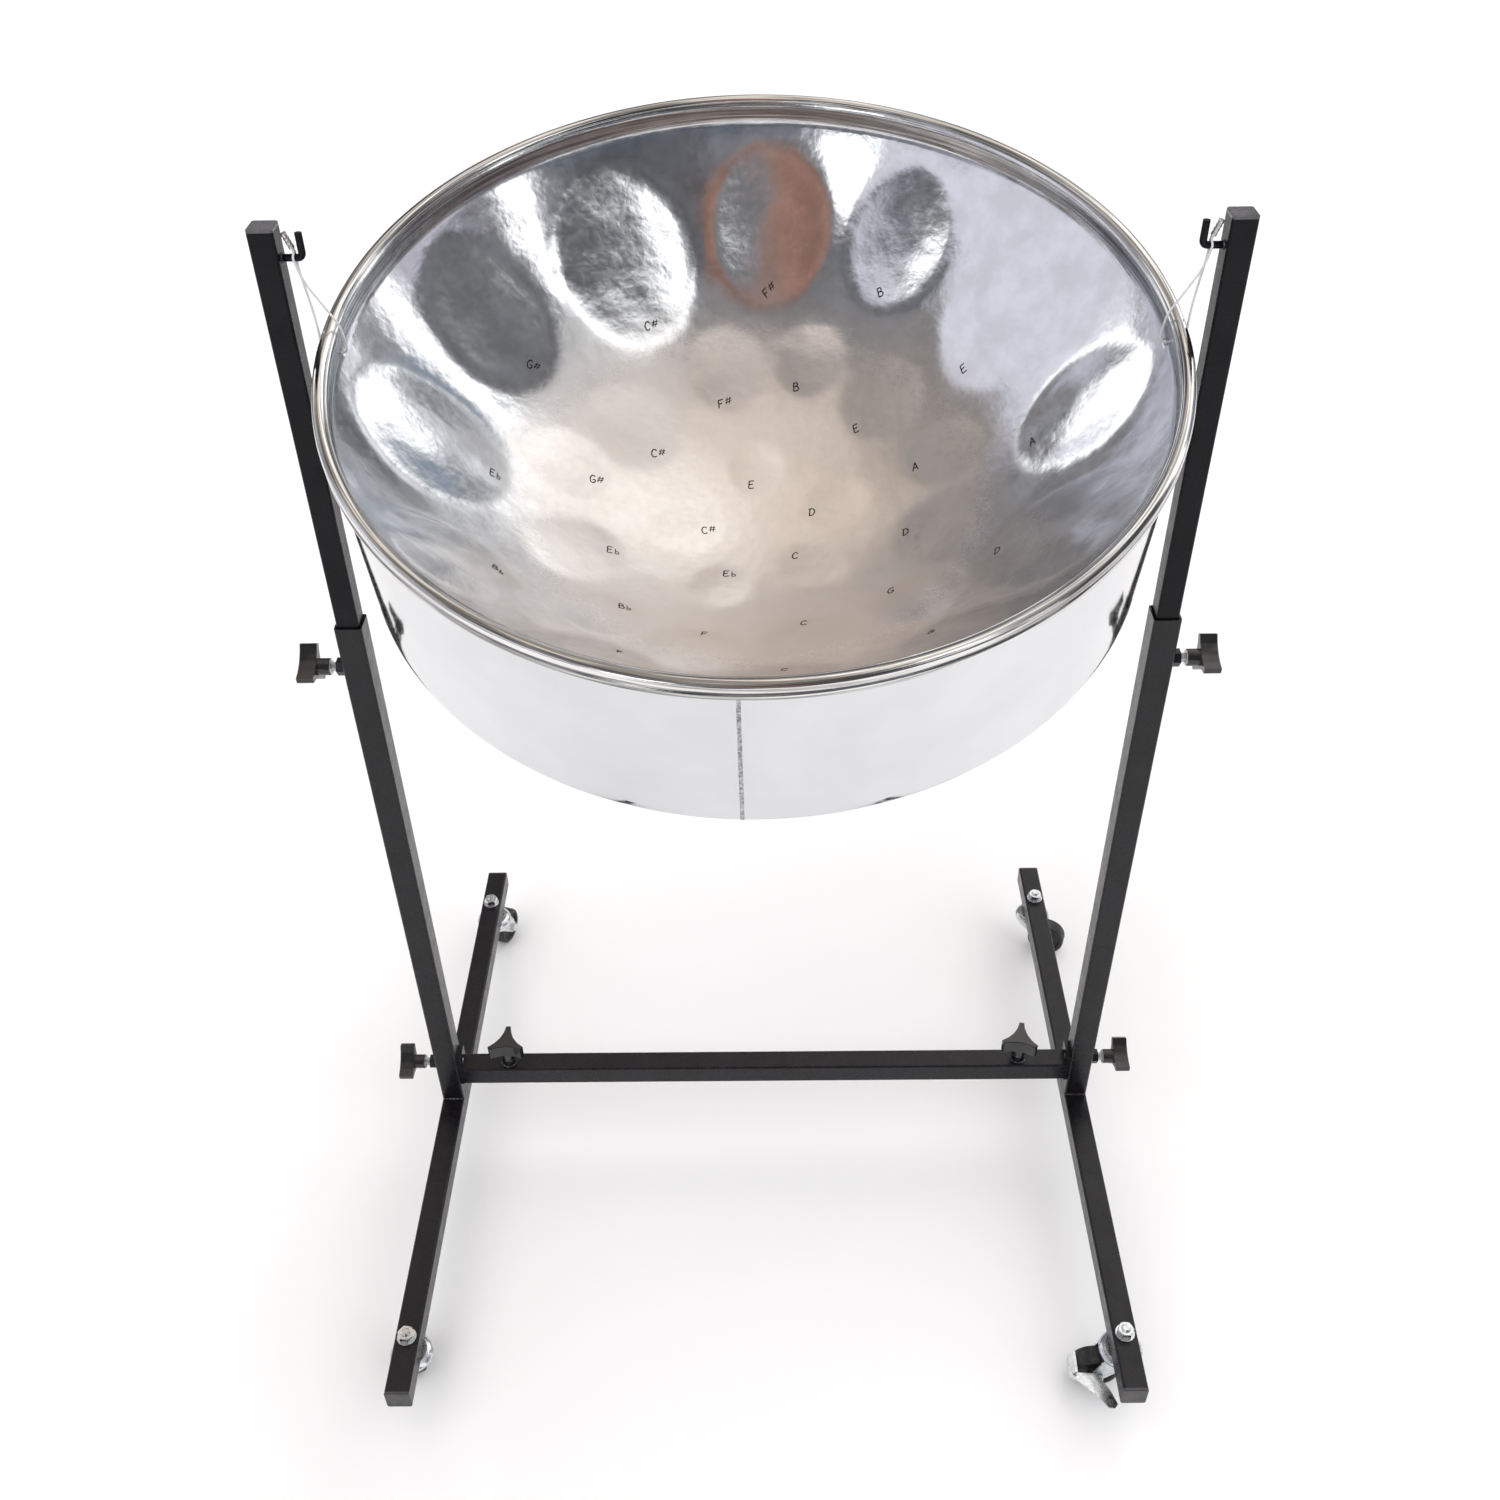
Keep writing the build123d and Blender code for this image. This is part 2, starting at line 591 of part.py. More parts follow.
os.makedirs("parts", exist_ok=True)
save_casters()
save_stand()
save_knobs()
save_pan()
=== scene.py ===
"""A chromed steel pan hung in a black tube stand: the looks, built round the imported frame.

Metres, +Z up, -Y towards the player. The pan has a frame of its own, which is the row frame
moved to the middle of the rim and tilted; its Z points out of the drum head.
"""
import json
import math

import bmesh
import bpy
import numpy as np
from mathutils import Matrix, Vector, noise

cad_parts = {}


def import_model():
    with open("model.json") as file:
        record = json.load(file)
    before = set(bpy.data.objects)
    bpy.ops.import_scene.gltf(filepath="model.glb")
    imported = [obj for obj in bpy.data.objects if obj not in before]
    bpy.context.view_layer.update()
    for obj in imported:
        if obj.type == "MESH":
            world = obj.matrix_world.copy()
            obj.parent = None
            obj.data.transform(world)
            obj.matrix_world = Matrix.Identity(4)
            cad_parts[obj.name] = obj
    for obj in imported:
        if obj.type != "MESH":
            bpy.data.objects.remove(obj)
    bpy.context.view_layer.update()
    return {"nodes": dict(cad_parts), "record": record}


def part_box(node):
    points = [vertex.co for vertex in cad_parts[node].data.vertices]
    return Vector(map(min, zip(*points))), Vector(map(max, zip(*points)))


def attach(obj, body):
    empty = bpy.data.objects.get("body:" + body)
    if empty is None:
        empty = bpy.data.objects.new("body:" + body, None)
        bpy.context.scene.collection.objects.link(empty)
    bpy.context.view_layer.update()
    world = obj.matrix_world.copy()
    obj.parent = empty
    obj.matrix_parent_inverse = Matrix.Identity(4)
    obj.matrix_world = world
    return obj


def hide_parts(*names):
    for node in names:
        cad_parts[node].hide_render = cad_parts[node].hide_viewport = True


MM = 0.001
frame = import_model()
NODES = frame["nodes"]

# ---- camera: player's side, looking down into the bowl ----
CAMERA_PLACE = (0.0073, -0.962, 1.3087)
CAMERA_PITCH = math.radians(-39.09)
CAMERA_YAW = math.radians(-0.86)
CAMERA_ROLL = math.radians(-1.12)
CAMERA_LENS = 35.37

# ---- pan, millimetres in the pan's frame ----
PAN_TILT = math.radians(16)
RIM_CREST_RADIUS = 290.6
RIM_MIDDLE = 7.6
CHIME_INNER = 285.5
CHIME_DEPTH = 13.5
SKIRT_RADIUS = 289.0
SKIRT_DEPTH = 146.6
SHEET = 1.2
BOWL_SHEET = 1.0
FLANGE_DEPTH = 18.0
BOWL_DEPTH = 186.0
HOLE_DEPTH = 19.0
HOLE_RADIUS = 1.4
HOLE_TURN = math.radians(2.87)
SEAM_X = -9.0
SEAM_WIDTH = 3.2

INNER_RADIUS = CHIME_INNER - BOWL_SHEET
BOWL_RISE = BOWL_DEPTH - FLANGE_DEPTH
OUTSIDE_DISH = (CHIME_INNER ** 2 + BOWL_RISE ** 2) / (2 * BOWL_RISE)
DISH_RADIUS = OUTSIDE_DISH - BOWL_SHEET
DISH_HEIGHT = OUTSIDE_DISH - BOWL_DEPTH
DISH_EDGE = math.asin(INNER_RADIUS / DISH_RADIUS)

# ---- M8 thread, millimetres ----
THREAD_PITCH = 1.25
THREAD_CREST = 3.97
THREAD_ROOT = 3.45

# ---- hammered notes ----
# Name, semitones above C, azimuth in degrees: 90 is the far side, -90 the player's side.
OUTER_NOTES = [
    ("C", 0, -84), ("G", 7, -54), ("D", 2, -25.5), ("A", 9, 4), ("E", 4, 33), ("B", 11, 61),
    ("F#", 6, 86.5), ("C#", 1, 116.5), ("G#", 8, 148), ("Eb", 3, 180.5), ("Bb", 10, 211),
    ("F", 5, 242.5),
]
# Name, semitones, azimuth, distance of its centre from the axis.
MIDDLE_NOTES = [
    ("C", 0, -73, 150), ("G", 7, -42, 156), ("D", 2, -12, 146), ("A", 9, 17, 155),
    ("E", 4, 46, 150), ("B", 11, 73, 156), ("F#", 6, 99, 146), ("C#", 1, 137, 131),
    ("G#", 8, 166, 148), ("Eb", 3, 200, 142), ("Bb", 10, 228, 162), ("F", 5, 254, 158),
]
INNER_NOTES = [
    ("E", 4, 89, 62), ("D", 2, 18, 66), ("C", 0, -45, 62), ("Eb", 3, 248, 70), ("C#", 1, 183, 55),
]
OUTER_INNER_END = math.radians(32.6)
OUTER_OUTER_END = math.radians(58.0)
END_PER_SEMITONE = math.radians(0.5)
OUTER_WIDTH = 113.0
MIDDLE_WIDTH = 80.0
INNER_WIDTH = 52.0
OUTER_DOME = 6.0
MIDDLE_DOME = 2.4
INNER_DOME = 1.5
# Softness of a dome's edge and depth of the groove round it, as shares of the dome.
OUTER_EDGE = (0.14, 0.02)
INNER_EDGE = (0.20, 0.03)
LETTER_HEIGHT = 6.8
LETTER_STROKE = 0.54
# Where a note's name starts from its inner end, by ring.
NAME_INSETS = (13.0, 8.0, 8.0)

# ---- finish of the drum head ----
# Degrees from the axis: satin up to the first angle, then it fades out over the second.
SATIN_REACH = 25
SATIN_FADE = 17
# Lines drawn round the rim: their scale across in millimetres, and along a turn.
STREAK_WIDTH = 1.7
STREAK_WANDER = 2.6

# ---- mesh density ----
COLUMNS = 360
DISH_ROWS = 104
FLANGE_HEIGHTS = (-16.2, -13.4, -8.0, -2.7)
THREAD_COLUMNS = 24
THREAD_STEPS = 6

# ---- welds, metres ----
POST_WELD_INSET = 0.0012
POST_WELD_RADIUS = 0.0011
HOOK_WELD_RING = 0.0027
HOOK_WELD_RADIUS = 0.0008
NUT_WELD_RING = 0.0071
NUT_WELD_RADIUS = 0.0010


def to_pan():
    """Matrix from the pan's frame, in millimetres, to the row frame, in metres."""
    low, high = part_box("chime_rim")
    centre = Vector((0, (low.y + high.y) / 2 - RIM_MIDDLE * MM * math.sin(PAN_TILT),
                     high.z - RIM_CREST_RADIUS * MM * math.sin(PAN_TILT)))
    tilt = Matrix.Rotation(PAN_TILT, 4, "X")
    return Matrix.Translation(centre) @ tilt @ Matrix.Scale(MM, 4)


PAN = to_pan()


# ------------------------------------------------------------------ mesh helpers
def add_mesh(name, points, faces, matrix=None, smooth=True):
    """A mesh object from points, moved by matrix into the row frame."""
    points = np.asarray(points, float)
    if matrix is not None:
        m = np.array(matrix)
        points = points @ m[:3, :3].T + m[:3, 3]
    mesh = bpy.data.meshes.new(name)
    mesh.from_pydata([tuple(p) for p in points], [], [tuple(f) for f in faces])
    mesh.validate()
    mesh.polygons.foreach_set("use_smooth", [smooth] * len(mesh.polygons))
    mesh.update()
    piece = bpy.data.objects.new(name, mesh)
    bpy.context.scene.collection.objects.link(piece)
    return piece


def grid_faces(rows, columns, offset=0, wrap=True, flip=False):
    """Quads of a grid whose points are stored row by row."""
    faces = []
    for i in range(rows - 1):
        for j in range(columns if wrap else columns - 1):
            k = (j + 1) % columns
            quad = (i * columns + j, i * columns + k, (i + 1) * columns + k, (i + 1) * columns + j)
            quad = tuple(offset + v for v in quad)
            faces.append(quad[::-1] if flip else quad)
    return faces


def lathe(profile, turns):
    """Points of a closed (radius, height) profile turned to each angle, and their quads."""
    points = [(r * math.cos(t), r * math.sin(t), z) for r, z in profile for t in turns]
    rows, columns = len(profile), len(turns)
    faces = grid_faces(rows, columns)
    last = (rows - 1) * columns
    for j in range(columns):
        k = (j + 1) % columns
        faces.append((last + j, last + k, k, j))
    return points, faces


def smooth_line(points, steps):
    """Points on a Catmull-Rom curve through the given points, ends included."""
    p = np.asarray(points, float)
    p = np.vstack([2 * p[0] - p[1], p, 2 * p[-1] - p[-2]])
    line = []
    for a, b, c, d in zip(p, p[1:], p[2:], p[3:]):
        for t in np.arange(steps) / steps:
            line.append(0.5 * (2 * b + (c - a) * t + (2 * a - 5 * b + 4 * c - d) * t ** 2
                               + (3 * b - a - 3 * c + d) * t ** 3))
    return np.array(line + [p[-2]])


def add_streaks(piece, across, turns):
    """Stores coordinates for lines that run round the pan: millimetres across, and the turn."""
    across, turns = np.asarray(across), np.asarray(turns)
    streak = np.stack([across / STREAK_WIDTH, STREAK_WANDER * np.cos(turns),
                       STREAK_WANDER * np.sin(turns)], axis=1)
    layer = piece.data.attributes.new("streak", "FLOAT_VECTOR", "POINT")
    layer.data.foreach_set("vector", streak.astype(np.float32).ravel())


def outward(piece):
    """Turns the mesh's faces so that their normals point out of the solid."""
    bm = bmesh.new()
    bm.from_mesh(piece.data)
    bmesh.ops.recalc_face_normals(bm, faces=bm.faces)
    bm.to_mesh(piece.data)
    bm.free()
    return piece


# ------------------------------------------------------------------ materials
class Shader:
    """A node material under construction: one Principled shader and short calls to feed it."""

    def __init__(self, name, color, metallic, roughness):
        self.material = bpy.data.materials.new(name)
        self.material.use_nodes = True
        self.tree = self.material.node_tree
        self.surface = self.tree.nodes["Principled BSDF"]
        self.surface.inputs["Base Color"].default_value = (*color, 1)
        self.surface.inputs["Metallic"].default_value = metallic
        self.surface.inputs["Roughness"].default_value = roughness
        self.material.diffuse_color = (*color, 1)
        self.where = self.tree.nodes.new("ShaderNodeTexCoord").outputs["Object"]

    def node(self, kind, **inputs):
        made = self.tree.nodes.new(kind)
        for key, value in inputs.items():
            self.put(made.inputs[key.replace("_", " ")], value)
        return made

    def put(self, socket, value):
        if isinstance(value, bpy.types.NodeSocket):
            self.tree.links.new(value, socket)
        else:
            socket.default_value = value

    def noise(self, scale, detail=2.0, stretch=(1, 1, 1)):
        """Noise of about one blob in 1/scale metres, stretched along the axes."""
        place = self.node("ShaderNodeMapping", Vector=self.where, Scale=stretch)
        return self.node("ShaderNodeTexNoise", Vector=place.outputs[0], Scale=scale,
                         Detail=detail).outputs["Fac"]

    def between(self, value, low, high, to_low=0.0, to_high=1.0):
        ranged = self.node("ShaderNodeMapRange", Value=value, From_Min=low, From_Max=high,
                           To_Min=to_low, To_Max=to_high)
        return ranged.outputs[0]

    def mix(self, amount, first, second):
        mixed = self.tree.nodes.new("ShaderNodeMix")
        mixed.data_type = "RGBA"
        self.put(mixed.inputs[0], amount)
        for socket, value in ((mixed.inputs[6], first), (mixed.inputs[7], second)):
            self.put(socket, value if isinstance(value, bpy.types.NodeSocket) else (*value, 1))
        return mixed.outputs[2]

    def maths(self, operation, first, second):
        made = self.tree.nodes.new("ShaderNodeMath")
        made.operation = operation
        self.put(made.inputs[0], first)
        self.put(made.inputs[1], second)
        return made.outputs[0]

    def attribute(self, name, output="Fac"):
        made = self.tree.nodes.new("ShaderNodeAttribute")
        made.attribute_name = name
        return made.outputs[output]

    def streaks(self):
        """Fine lines along the rolled edge, from the mesh's own streak coordinates."""
        return self.node("ShaderNodeTexNoise", Vector=self.attribute("streak", "Vector"), Scale=1.0,
                         Detail=3.0).outputs["Fac"]

    def color(self, value):
        self.put(self.surface.inputs["Base Color"], value)

    def roughness(self, value):
        self.put(self.surface.inputs["Roughness"], value)

    def bump(self, *layers):
        """Adds bumps, each a (height, distance in metres, strength)."""
        normal = None
        for height, distance, strength in layers:
            made = self.node("ShaderNodeBump", Height=height, Distance=distance, Strength=strength)
            if normal is not None:
                self.put(made.inputs["Normal"], normal)
            normal = made.outputs[0]
        self.put(self.surface.inputs["Normal"], normal)


def powder_coat(name, specular):
    """Satin black powder coat: fine orange peel, slightly paler where it is thin."""
    s = Shader(name, (0.007, 0.0065, 0.0085), 0.0, 0.28)
    patches = s.noise(35, 3)
    s.color(s.mix(s.between(patches, 0.3, 0.75), (0.005, 0.0045, 0.0065), (0.010, 0.009, 0.012)))
    s.roughness(s.between(s.noise(90, 3), 0.3, 0.7, 0.22, 0.33))
    s.surface.inputs["Specular IOR Level"].default_value = specular
    s.bump((s.noise(1500, 2), 0.0002, 0.35), (s.noise(420, 2), 0.0003, 0.18))
    return s.material


def weld_black():
    """Powder coat over a weld bead: glossier, with painted glints as pale spots in the colour."""
    s = Shader("weld_black", (0.04, 0.038, 0.04), 0.0, 0.3)
    # Painted highlight: pale spots in the colour stand in for glints on the bead; the same mask
    # makes those spots glossier.
    gloss_and_painted_glints = s.between(s.noise(700, 3), 0.55, 0.72)
    s.color(s.mix(gloss_and_painted_glints, (0.022, 0.020, 0.022), (0.34, 0.34, 0.35)))
    s.roughness(s.between(gloss_and_painted_glints, 0, 1, 0.34, 0.22))
    s.bump((s.noise(1100, 3), 0.0005, 0.6))
    return s.material


def cap_plastic(name, tone, roughness):
    """Moulded polyethylene of the tube caps, greyed by handling."""
    s = Shader(name, (tone, tone, tone), 0.0, roughness)
    worn = s.between(s.noise(60, 3), 0.3, 0.7)
    s.color(s.mix(worn, (0.8 * tone, 0.78 * tone, 0.84 * tone),
                  (1.3 * tone, 1.26 * tone, 1.35 * tone)))
    s.roughness(s.between(s.noise(260, 2), 0.3, 0.7, roughness - 0.08, roughness + 0.08))
    s.bump((s.noise(2600, 2), 0.0001, 0.35))
    return s.material


def knob_plastic():
    """Semi-gloss glass-filled nylon of the clamp knobs, with a faint flow pattern."""
    s = Shader("knob_plastic", (0.012, 0.012, 0.0125), 0.0, 0.3)
    flow = s.noise(120, 3, (1, 1, 0.3))
    s.color(s.mix(s.between(flow, 0.35, 0.7), (0.010, 0.010, 0.011), (0.020, 0.0195, 0.0205)))
    s.roughness(s.between(s.noise(500, 3), 0.3, 0.75, 0.14, 0.28))
    s.surface.inputs["Specular IOR Level"].default_value = 0.65
    s.bump((s.noise(1800, 2), 0.0001, 0.22), (flow, 0.0002, 0.12))
    return s.material


def zinc_plate():
    """Bright clear zinc on pressed steel: grey with a slight blue, handled and uneven."""
    s = Shader("zinc_plate", (0.72, 0.74, 0.75), 1.0, 0.25)
    stain = s.noise(140, 4)
    s.color(s.mix(s.between(stain, 0.35, 0.7), (0.80, 0.82, 0.84), (0.58, 0.61, 0.63)))
    s.roughness(s.between(s.noise(420, 3), 0.3, 0.75, 0.16, 0.36))
    s.bump((s.noise(900, 3), 0.0002, 0.25), (s.noise(160, 2), 0.0005, 0.12))
    return s.material


def wheel_plastic():
    """Black moulded wheel: dull tread with dust and fine rolling scratches."""
    s = Shader("wheel_plastic", (0.018, 0.018, 0.019), 0.0, 0.45)
    dust = s.between(s.noise(300, 4), 0.5, 0.8)
    s.color(s.mix(dust, (0.013, 0.013, 0.014), (0.045, 0.043, 0.041)))
    s.roughness(s.between(s.noise(900, 2), 0.3, 0.7, 0.36, 0.56))
    s.bump((s.noise(2200, 2), 0.0001, 0.3))
    return s.material


def aluminium():
    """Soft bare aluminium of the crimp sleeves, dulled in the pressed grooves."""
    s = Shader("aluminium", (0.76, 0.75, 0.73), 1.0, 0.32)
    s.color(s.mix(s.between(s.noise(900, 3), 0.35, 0.7), (0.82, 0.80, 0.77), (0.60, 0.57, 0.53)))
    s.roughness(s.between(s.noise(1600, 2), 0.3, 0.7, 0.24, 0.44))
    s.bump((s.noise(2400, 2, (1, 1, 0.2)), 0.0001, 0.4))
    return s.material


def nylon():
    """Clear monofilament: pale, glossy, light passes through."""
    s = Shader("nylon", (0.90, 0.92, 0.94), 0.0, 0.16)
    s.color(s.mix(s.between(s.noise(600, 2), 0.3, 0.7), (0.86, 0.89, 0.92), (0.96, 0.97, 0.98)))
    s.roughness(s.between(s.noise(1200, 2), 0.3, 0.7, 0.10, 0.24))
    s.surface.inputs["Transmission Weight"].default_value = 0.12
    s.surface.inputs["IOR"].default_value = 1.53
    s.bump((s.noise(3000, 2), 0.00005, 0.2))
    return s.material


def ink():
    """Black permanent marker, a little thin in places."""
    s = Shader("marker_ink", (0.01, 0.01, 0.012), 0.0, 0.5)
    thin = s.between(s.noise(1500, 2), 0.45, 0.8)
    s.color(s.mix(thin, (0.003, 0.003, 0.004), (0.022, 0.020, 0.022)))
    s.roughness(s.between(s.noise(2500, 2), 0.3, 0.7, 0.5, 0.7))
    s.surface.inputs["Specular IOR Level"].default_value = 0.2
    s.bump((s.noise(3500, 2), 0.00005, 0.3))
    return s.material


def bowl_chrome():
    """Chrome over hammered steel: mirror on the walls, satin and warm at the bottom."""
    s = Shader("bowl_chrome", (0.80, 0.81, 0.83), 1.0, 0.14)
    satin = s.attribute("satin")
    worked = s.maths("MULTIPLY", satin, s.between(s.noise(28, 4), 0.25, 0.75, 0.80, 1.0))
    lines = s.streaks()
    flange = s.attribute("flange")
    clouds = s.between(s.noise(48, 5), 0.38, 0.64)
    bright = s.mix(clouds, (0.845, 0.86, 0.885), (0.735, 0.745, 0.765))
    plating = s.mix(worked, bright, (0.80, 0.75, 0.71))
    # Painted shade: dark lines in the colour along the drawn lines on the flange.
    painted_shade_lines = s.maths("MULTIPLY", s.between(lines, 0.44, 0.60, 0.0, 0.75), flange)
    s.color(s.mix(painted_shade_lines, plating, (0.26, 0.26, 0.25)))
    grain = s.noise(620, 1)
    fuzz = s.between(s.noise(160, 4), 0.35, 0.75, 0.0, 0.07)
    walls = s.maths("ADD", s.between(grain, 0.3, 0.75, 0.115, 0.145), fuzz)
    s.roughness(s.maths("ADD", walls, s.maths("MULTIPLY", worked, 0.20)))
    s.bump((s.noise(60, 2), 0.0012, 0.20), (s.noise(210, 2), 0.0004, 0.18), (grain, 0.0001, 0.04),
           (lines, 0.0006, s.maths("MULTIPLY", flange, 0.6)))
    return s.material


def rim_chrome():
    """Chrome over the rolled chime: drawn lines along it, with painted shade in the low parts of
    the lines.
    """
    s = Shader("rim_chrome", (0.66, 0.66, 0.65), 1.0, 0.12)
    lines = s.streaks()
    # Painted shade: the colour goes dark along the low parts of the drawn lines.
    s.color(s.mix(s.between(lines, 0.42, 0.58), (0.30, 0.30, 0.29), (0.82, 0.82, 0.81)))
    s.roughness(s.between(s.noise(300, 3), 0.35, 0.75, 0.07, 0.16))
    s.bump((lines, 0.0006, 0.50), (s.noise(120, 2), 0.0004, 0.10))
    return s.material


def skirt_chrome():
    """Bright chrome on rolled sheet: long shallow ripples and fine polishing marks."""
    s = Shader("skirt_chrome", (0.76, 0.775, 0.795), 1.0, 0.08)
    ripple = s.noise(14, 2)
    haze = s.between(s.noise(22, 3), 0.3, 0.7)
    s.color(s.mix(haze, (0.735, 0.745, 0.768), (0.69, 0.70, 0.722)))
    s.roughness(s.between(s.noise(500, 4), 0.35, 0.75, 0.045, 0.13))
    s.bump((ripple, 0.0012, 0.12), (s.noise(1400, 2), 0.0001, 0.06))
    return s.material


def weld_grey():
    """Rough unpolished weld line under thin plating."""
    s = Shader("weld_grey", (0.42, 0.42, 0.43), 1.0, 0.5)
    s.color(s.mix(s.between(s.noise(420, 4), 0.35, 0.65), (0.24, 0.24, 0.25), (0.66, 0.66, 0.67)))
    s.roughness(s.between(s.noise(800, 3), 0.3, 0.7, 0.36, 0.7))
    s.bump((s.noise(700, 4), 0.0006, 0.9))
    return s.material


def paint(piece, material):
    piece.data.materials.clear()
    piece.data.materials.append(material)


# ------------------------------------------------------------------ drum head
def note_table():
    """Every note: name, azimuth, angle from the axis, half length, half width, dome, edge."""
    table = []
    for name, step, azimuth in OUTER_NOTES:
        near = OUTER_INNER_END + END_PER_SEMITONE * step
        middle = (near + OUTER_OUTER_END) / 2
        half_length = DISH_RADIUS * (OUTER_OUTER_END - near) / 2
        half_width = OUTER_WIDTH * 2 ** (-step / 24) / 2
        table.append((name, math.radians(azimuth), middle, half_length, half_width,
                      OUTER_DOME, OUTER_EDGE))
    for notes, width, dome in ((MIDDLE_NOTES, MIDDLE_WIDTH, MIDDLE_DOME),
                               (INNER_NOTES, INNER_WIDTH, INNER_DOME)):
        for name, step, azimuth, distance in notes:
            half = width * 2 ** (-step / 24) / 2
            polar = math.asin(distance / DISH_RADIUS)
            table.append((name, math.radians(azimuth), polar, 1.06 * half, 0.94 * half,
                          dome, INNER_EDGE))
    return table


def dish_axes(azimuth, polar):
    """Unit vectors at a place on the dish: from the sphere's centre, outwards, and sideways."""
    ahead = np.array([math.cos(azimuth), math.sin(azimuth), 0])
    down = np.array([0, 0, -1])
    centre = math.sin(polar) * ahead + math.cos(polar) * down
    out = math.cos(polar) * ahead - math.sin(polar) * down
    side = np.array([-math.sin(azimuth), math.cos(azimuth), 0])
    return centre, out, side


def dish_lift(directions):
    """How far the hammered surface stands in from the plain sphere, for unit vectors."""
    lift = np.zeros(len(directions))
    for _, azimuth, polar, half_length, half_width, dome, (soft, groove) in note_table():
        centre, out, side = dish_axes(azimuth, polar)
        facing = directions @ centre
        near = facing > 0.8
        x = DISH_RADIUS * (directions[near] @ out) / facing[near]
        y = DISH_RADIUS * (directions[near] @ side) / facing[near]
        apart = np.sqrt((x / half_length) ** 2 + (y / half_width) ** 2)
        crown = soft * np.logaddexp(0, (1 - apart ** 2) / soft)
        lift[near] += dome * (crown - groove * np.exp(-((apart - 1.04) / 0.18) ** 2))
    return lift


def hammer_marks(points):
    """Shallow unevenness of the hand-sunk sheet."""
    marks = []
    for p in points:
        v = Vector(p)
        marks.append(0.45 * noise.noise(v / 62) + 0.20 * noise.noise(v / 24)
                     + 0.07 * noise.noise(v / 10))
    return np.array(marks)


def turn_angles(count):
    """Angles of the grid columns, with one exactly at each string hole."""
    quarter = count // 4
    front = np.linspace(-math.pi / 2, HOLE_TURN, quarter + 2, endpoint=False)
    back = np.linspace(HOLE_TURN, math.pi / 2, quarter - 2, endpoint=False)
    right = np.concatenate([front, back])
    left = math.pi - right[::-1]
    return np.concatenate([right, [math.pi / 2], left[:-1]])


def bowl_profile():
    """(radius, height, how much the hammering counts) from the centre to the rim."""
    hole = math.acos((DISH_HEIGHT + HOLE_DEPTH) / DISH_RADIUS)
    rows = []
    for polar in np.linspace(0, hole, DISH_ROWS)[1:]:
        radius, height = DISH_RADIUS * math.sin(polar), DISH_HEIGHT - DISH_RADIUS * math.cos(polar)
        fade = min(1.0, max(0.0, (DISH_EDGE - polar) / math.radians(2.5)))
        rows.append((radius, height, fade))
    return rows + [(INNER_RADIUS, height, 0.0) for height in FLANGE_HEIGHTS]


def hammered_bowl():
    """The drum head as one closed sheet: the played face, the underside, the top edge."""
    turns = turn_angles(COLUMNS)
    rows = bowl_profile()
    hub = np.array([0, 0, DISH_HEIGHT])
    base = np.array([(r * math.cos(t), r * math.sin(t), z) for r, z, _ in rows for t in turns])
    base = np.vstack([base, (0, 0, DISH_HEIGHT - DISH_RADIUS)])
    fade = np.append(np.repeat([f for _, _, f in rows], len(turns)), 1.0)
    inward = hub - base
    inward /= np.linalg.norm(inward, axis=1)[:, None]
    lift = (dish_lift(-inward) + hammer_marks(base)) * fade
    face = base + inward * lift[:, None]
    on_flange = base[:, 2] > -FLANGE_DEPTH + 0.5
    level = base * (1, 1, 0)
    level /= np.maximum(np.linalg.norm(level, axis=1), 1e-9)[:, None]
    push = np.where(on_flange[:, None], level, -inward)
    under = face + push * BOWL_SHEET
    count, columns = len(face), len(turns)
    faces = []
    for offset, flip in ((0, False), (count, True)):
        faces += grid_faces(len(rows), columns, offset, flip=flip)
        for j in range(columns):
            rim = (offset + (j + 1) % columns, offset + j, offset + count - 1)
            faces.append(rim[::-1] if flip else rim)
    top = (len(rows) - 1) * columns
    for j in range(columns):
        k = (j + 1) % columns
        faces.append((top + j, top + k, count + top + k, count + top + j))
    points = np.vstack([face, under])
    hole_row = len(rows) - len(FLANGE_HEIGHTS) - 1
    points, faces = open_holes(points, faces, turns, [(0, hole_row, 1), (count, hole_row, 1)])
    piece = outward(add_mesh("hammered_bowl", points, faces, PAN))
    polar = np.arccos(np.clip((DISH_HEIGHT - points[:, 2]) / DISH_RADIUS, -1, 1))
    satin = 1 - np.clip((np.degrees(polar) - SATIN_REACH) / SATIN_FADE, 0, 1)
    satin = satin * satin * (3 - 2 * satin)
    flange = np.clip((points[:, 2] + FLANGE_DEPTH + 2) / 3, 0, 1)
    for name, share in (("satin", satin), ("flange", flange)):
        layer = piece.data.attributes.new(name, "FLOAT", "POINT")
        layer.data.foreach_set("value", share.astype(np.float32))
    add_streaks(piece, points[:, 2], np.arctan2(points[:, 1], points[:, 0]))
    return piece


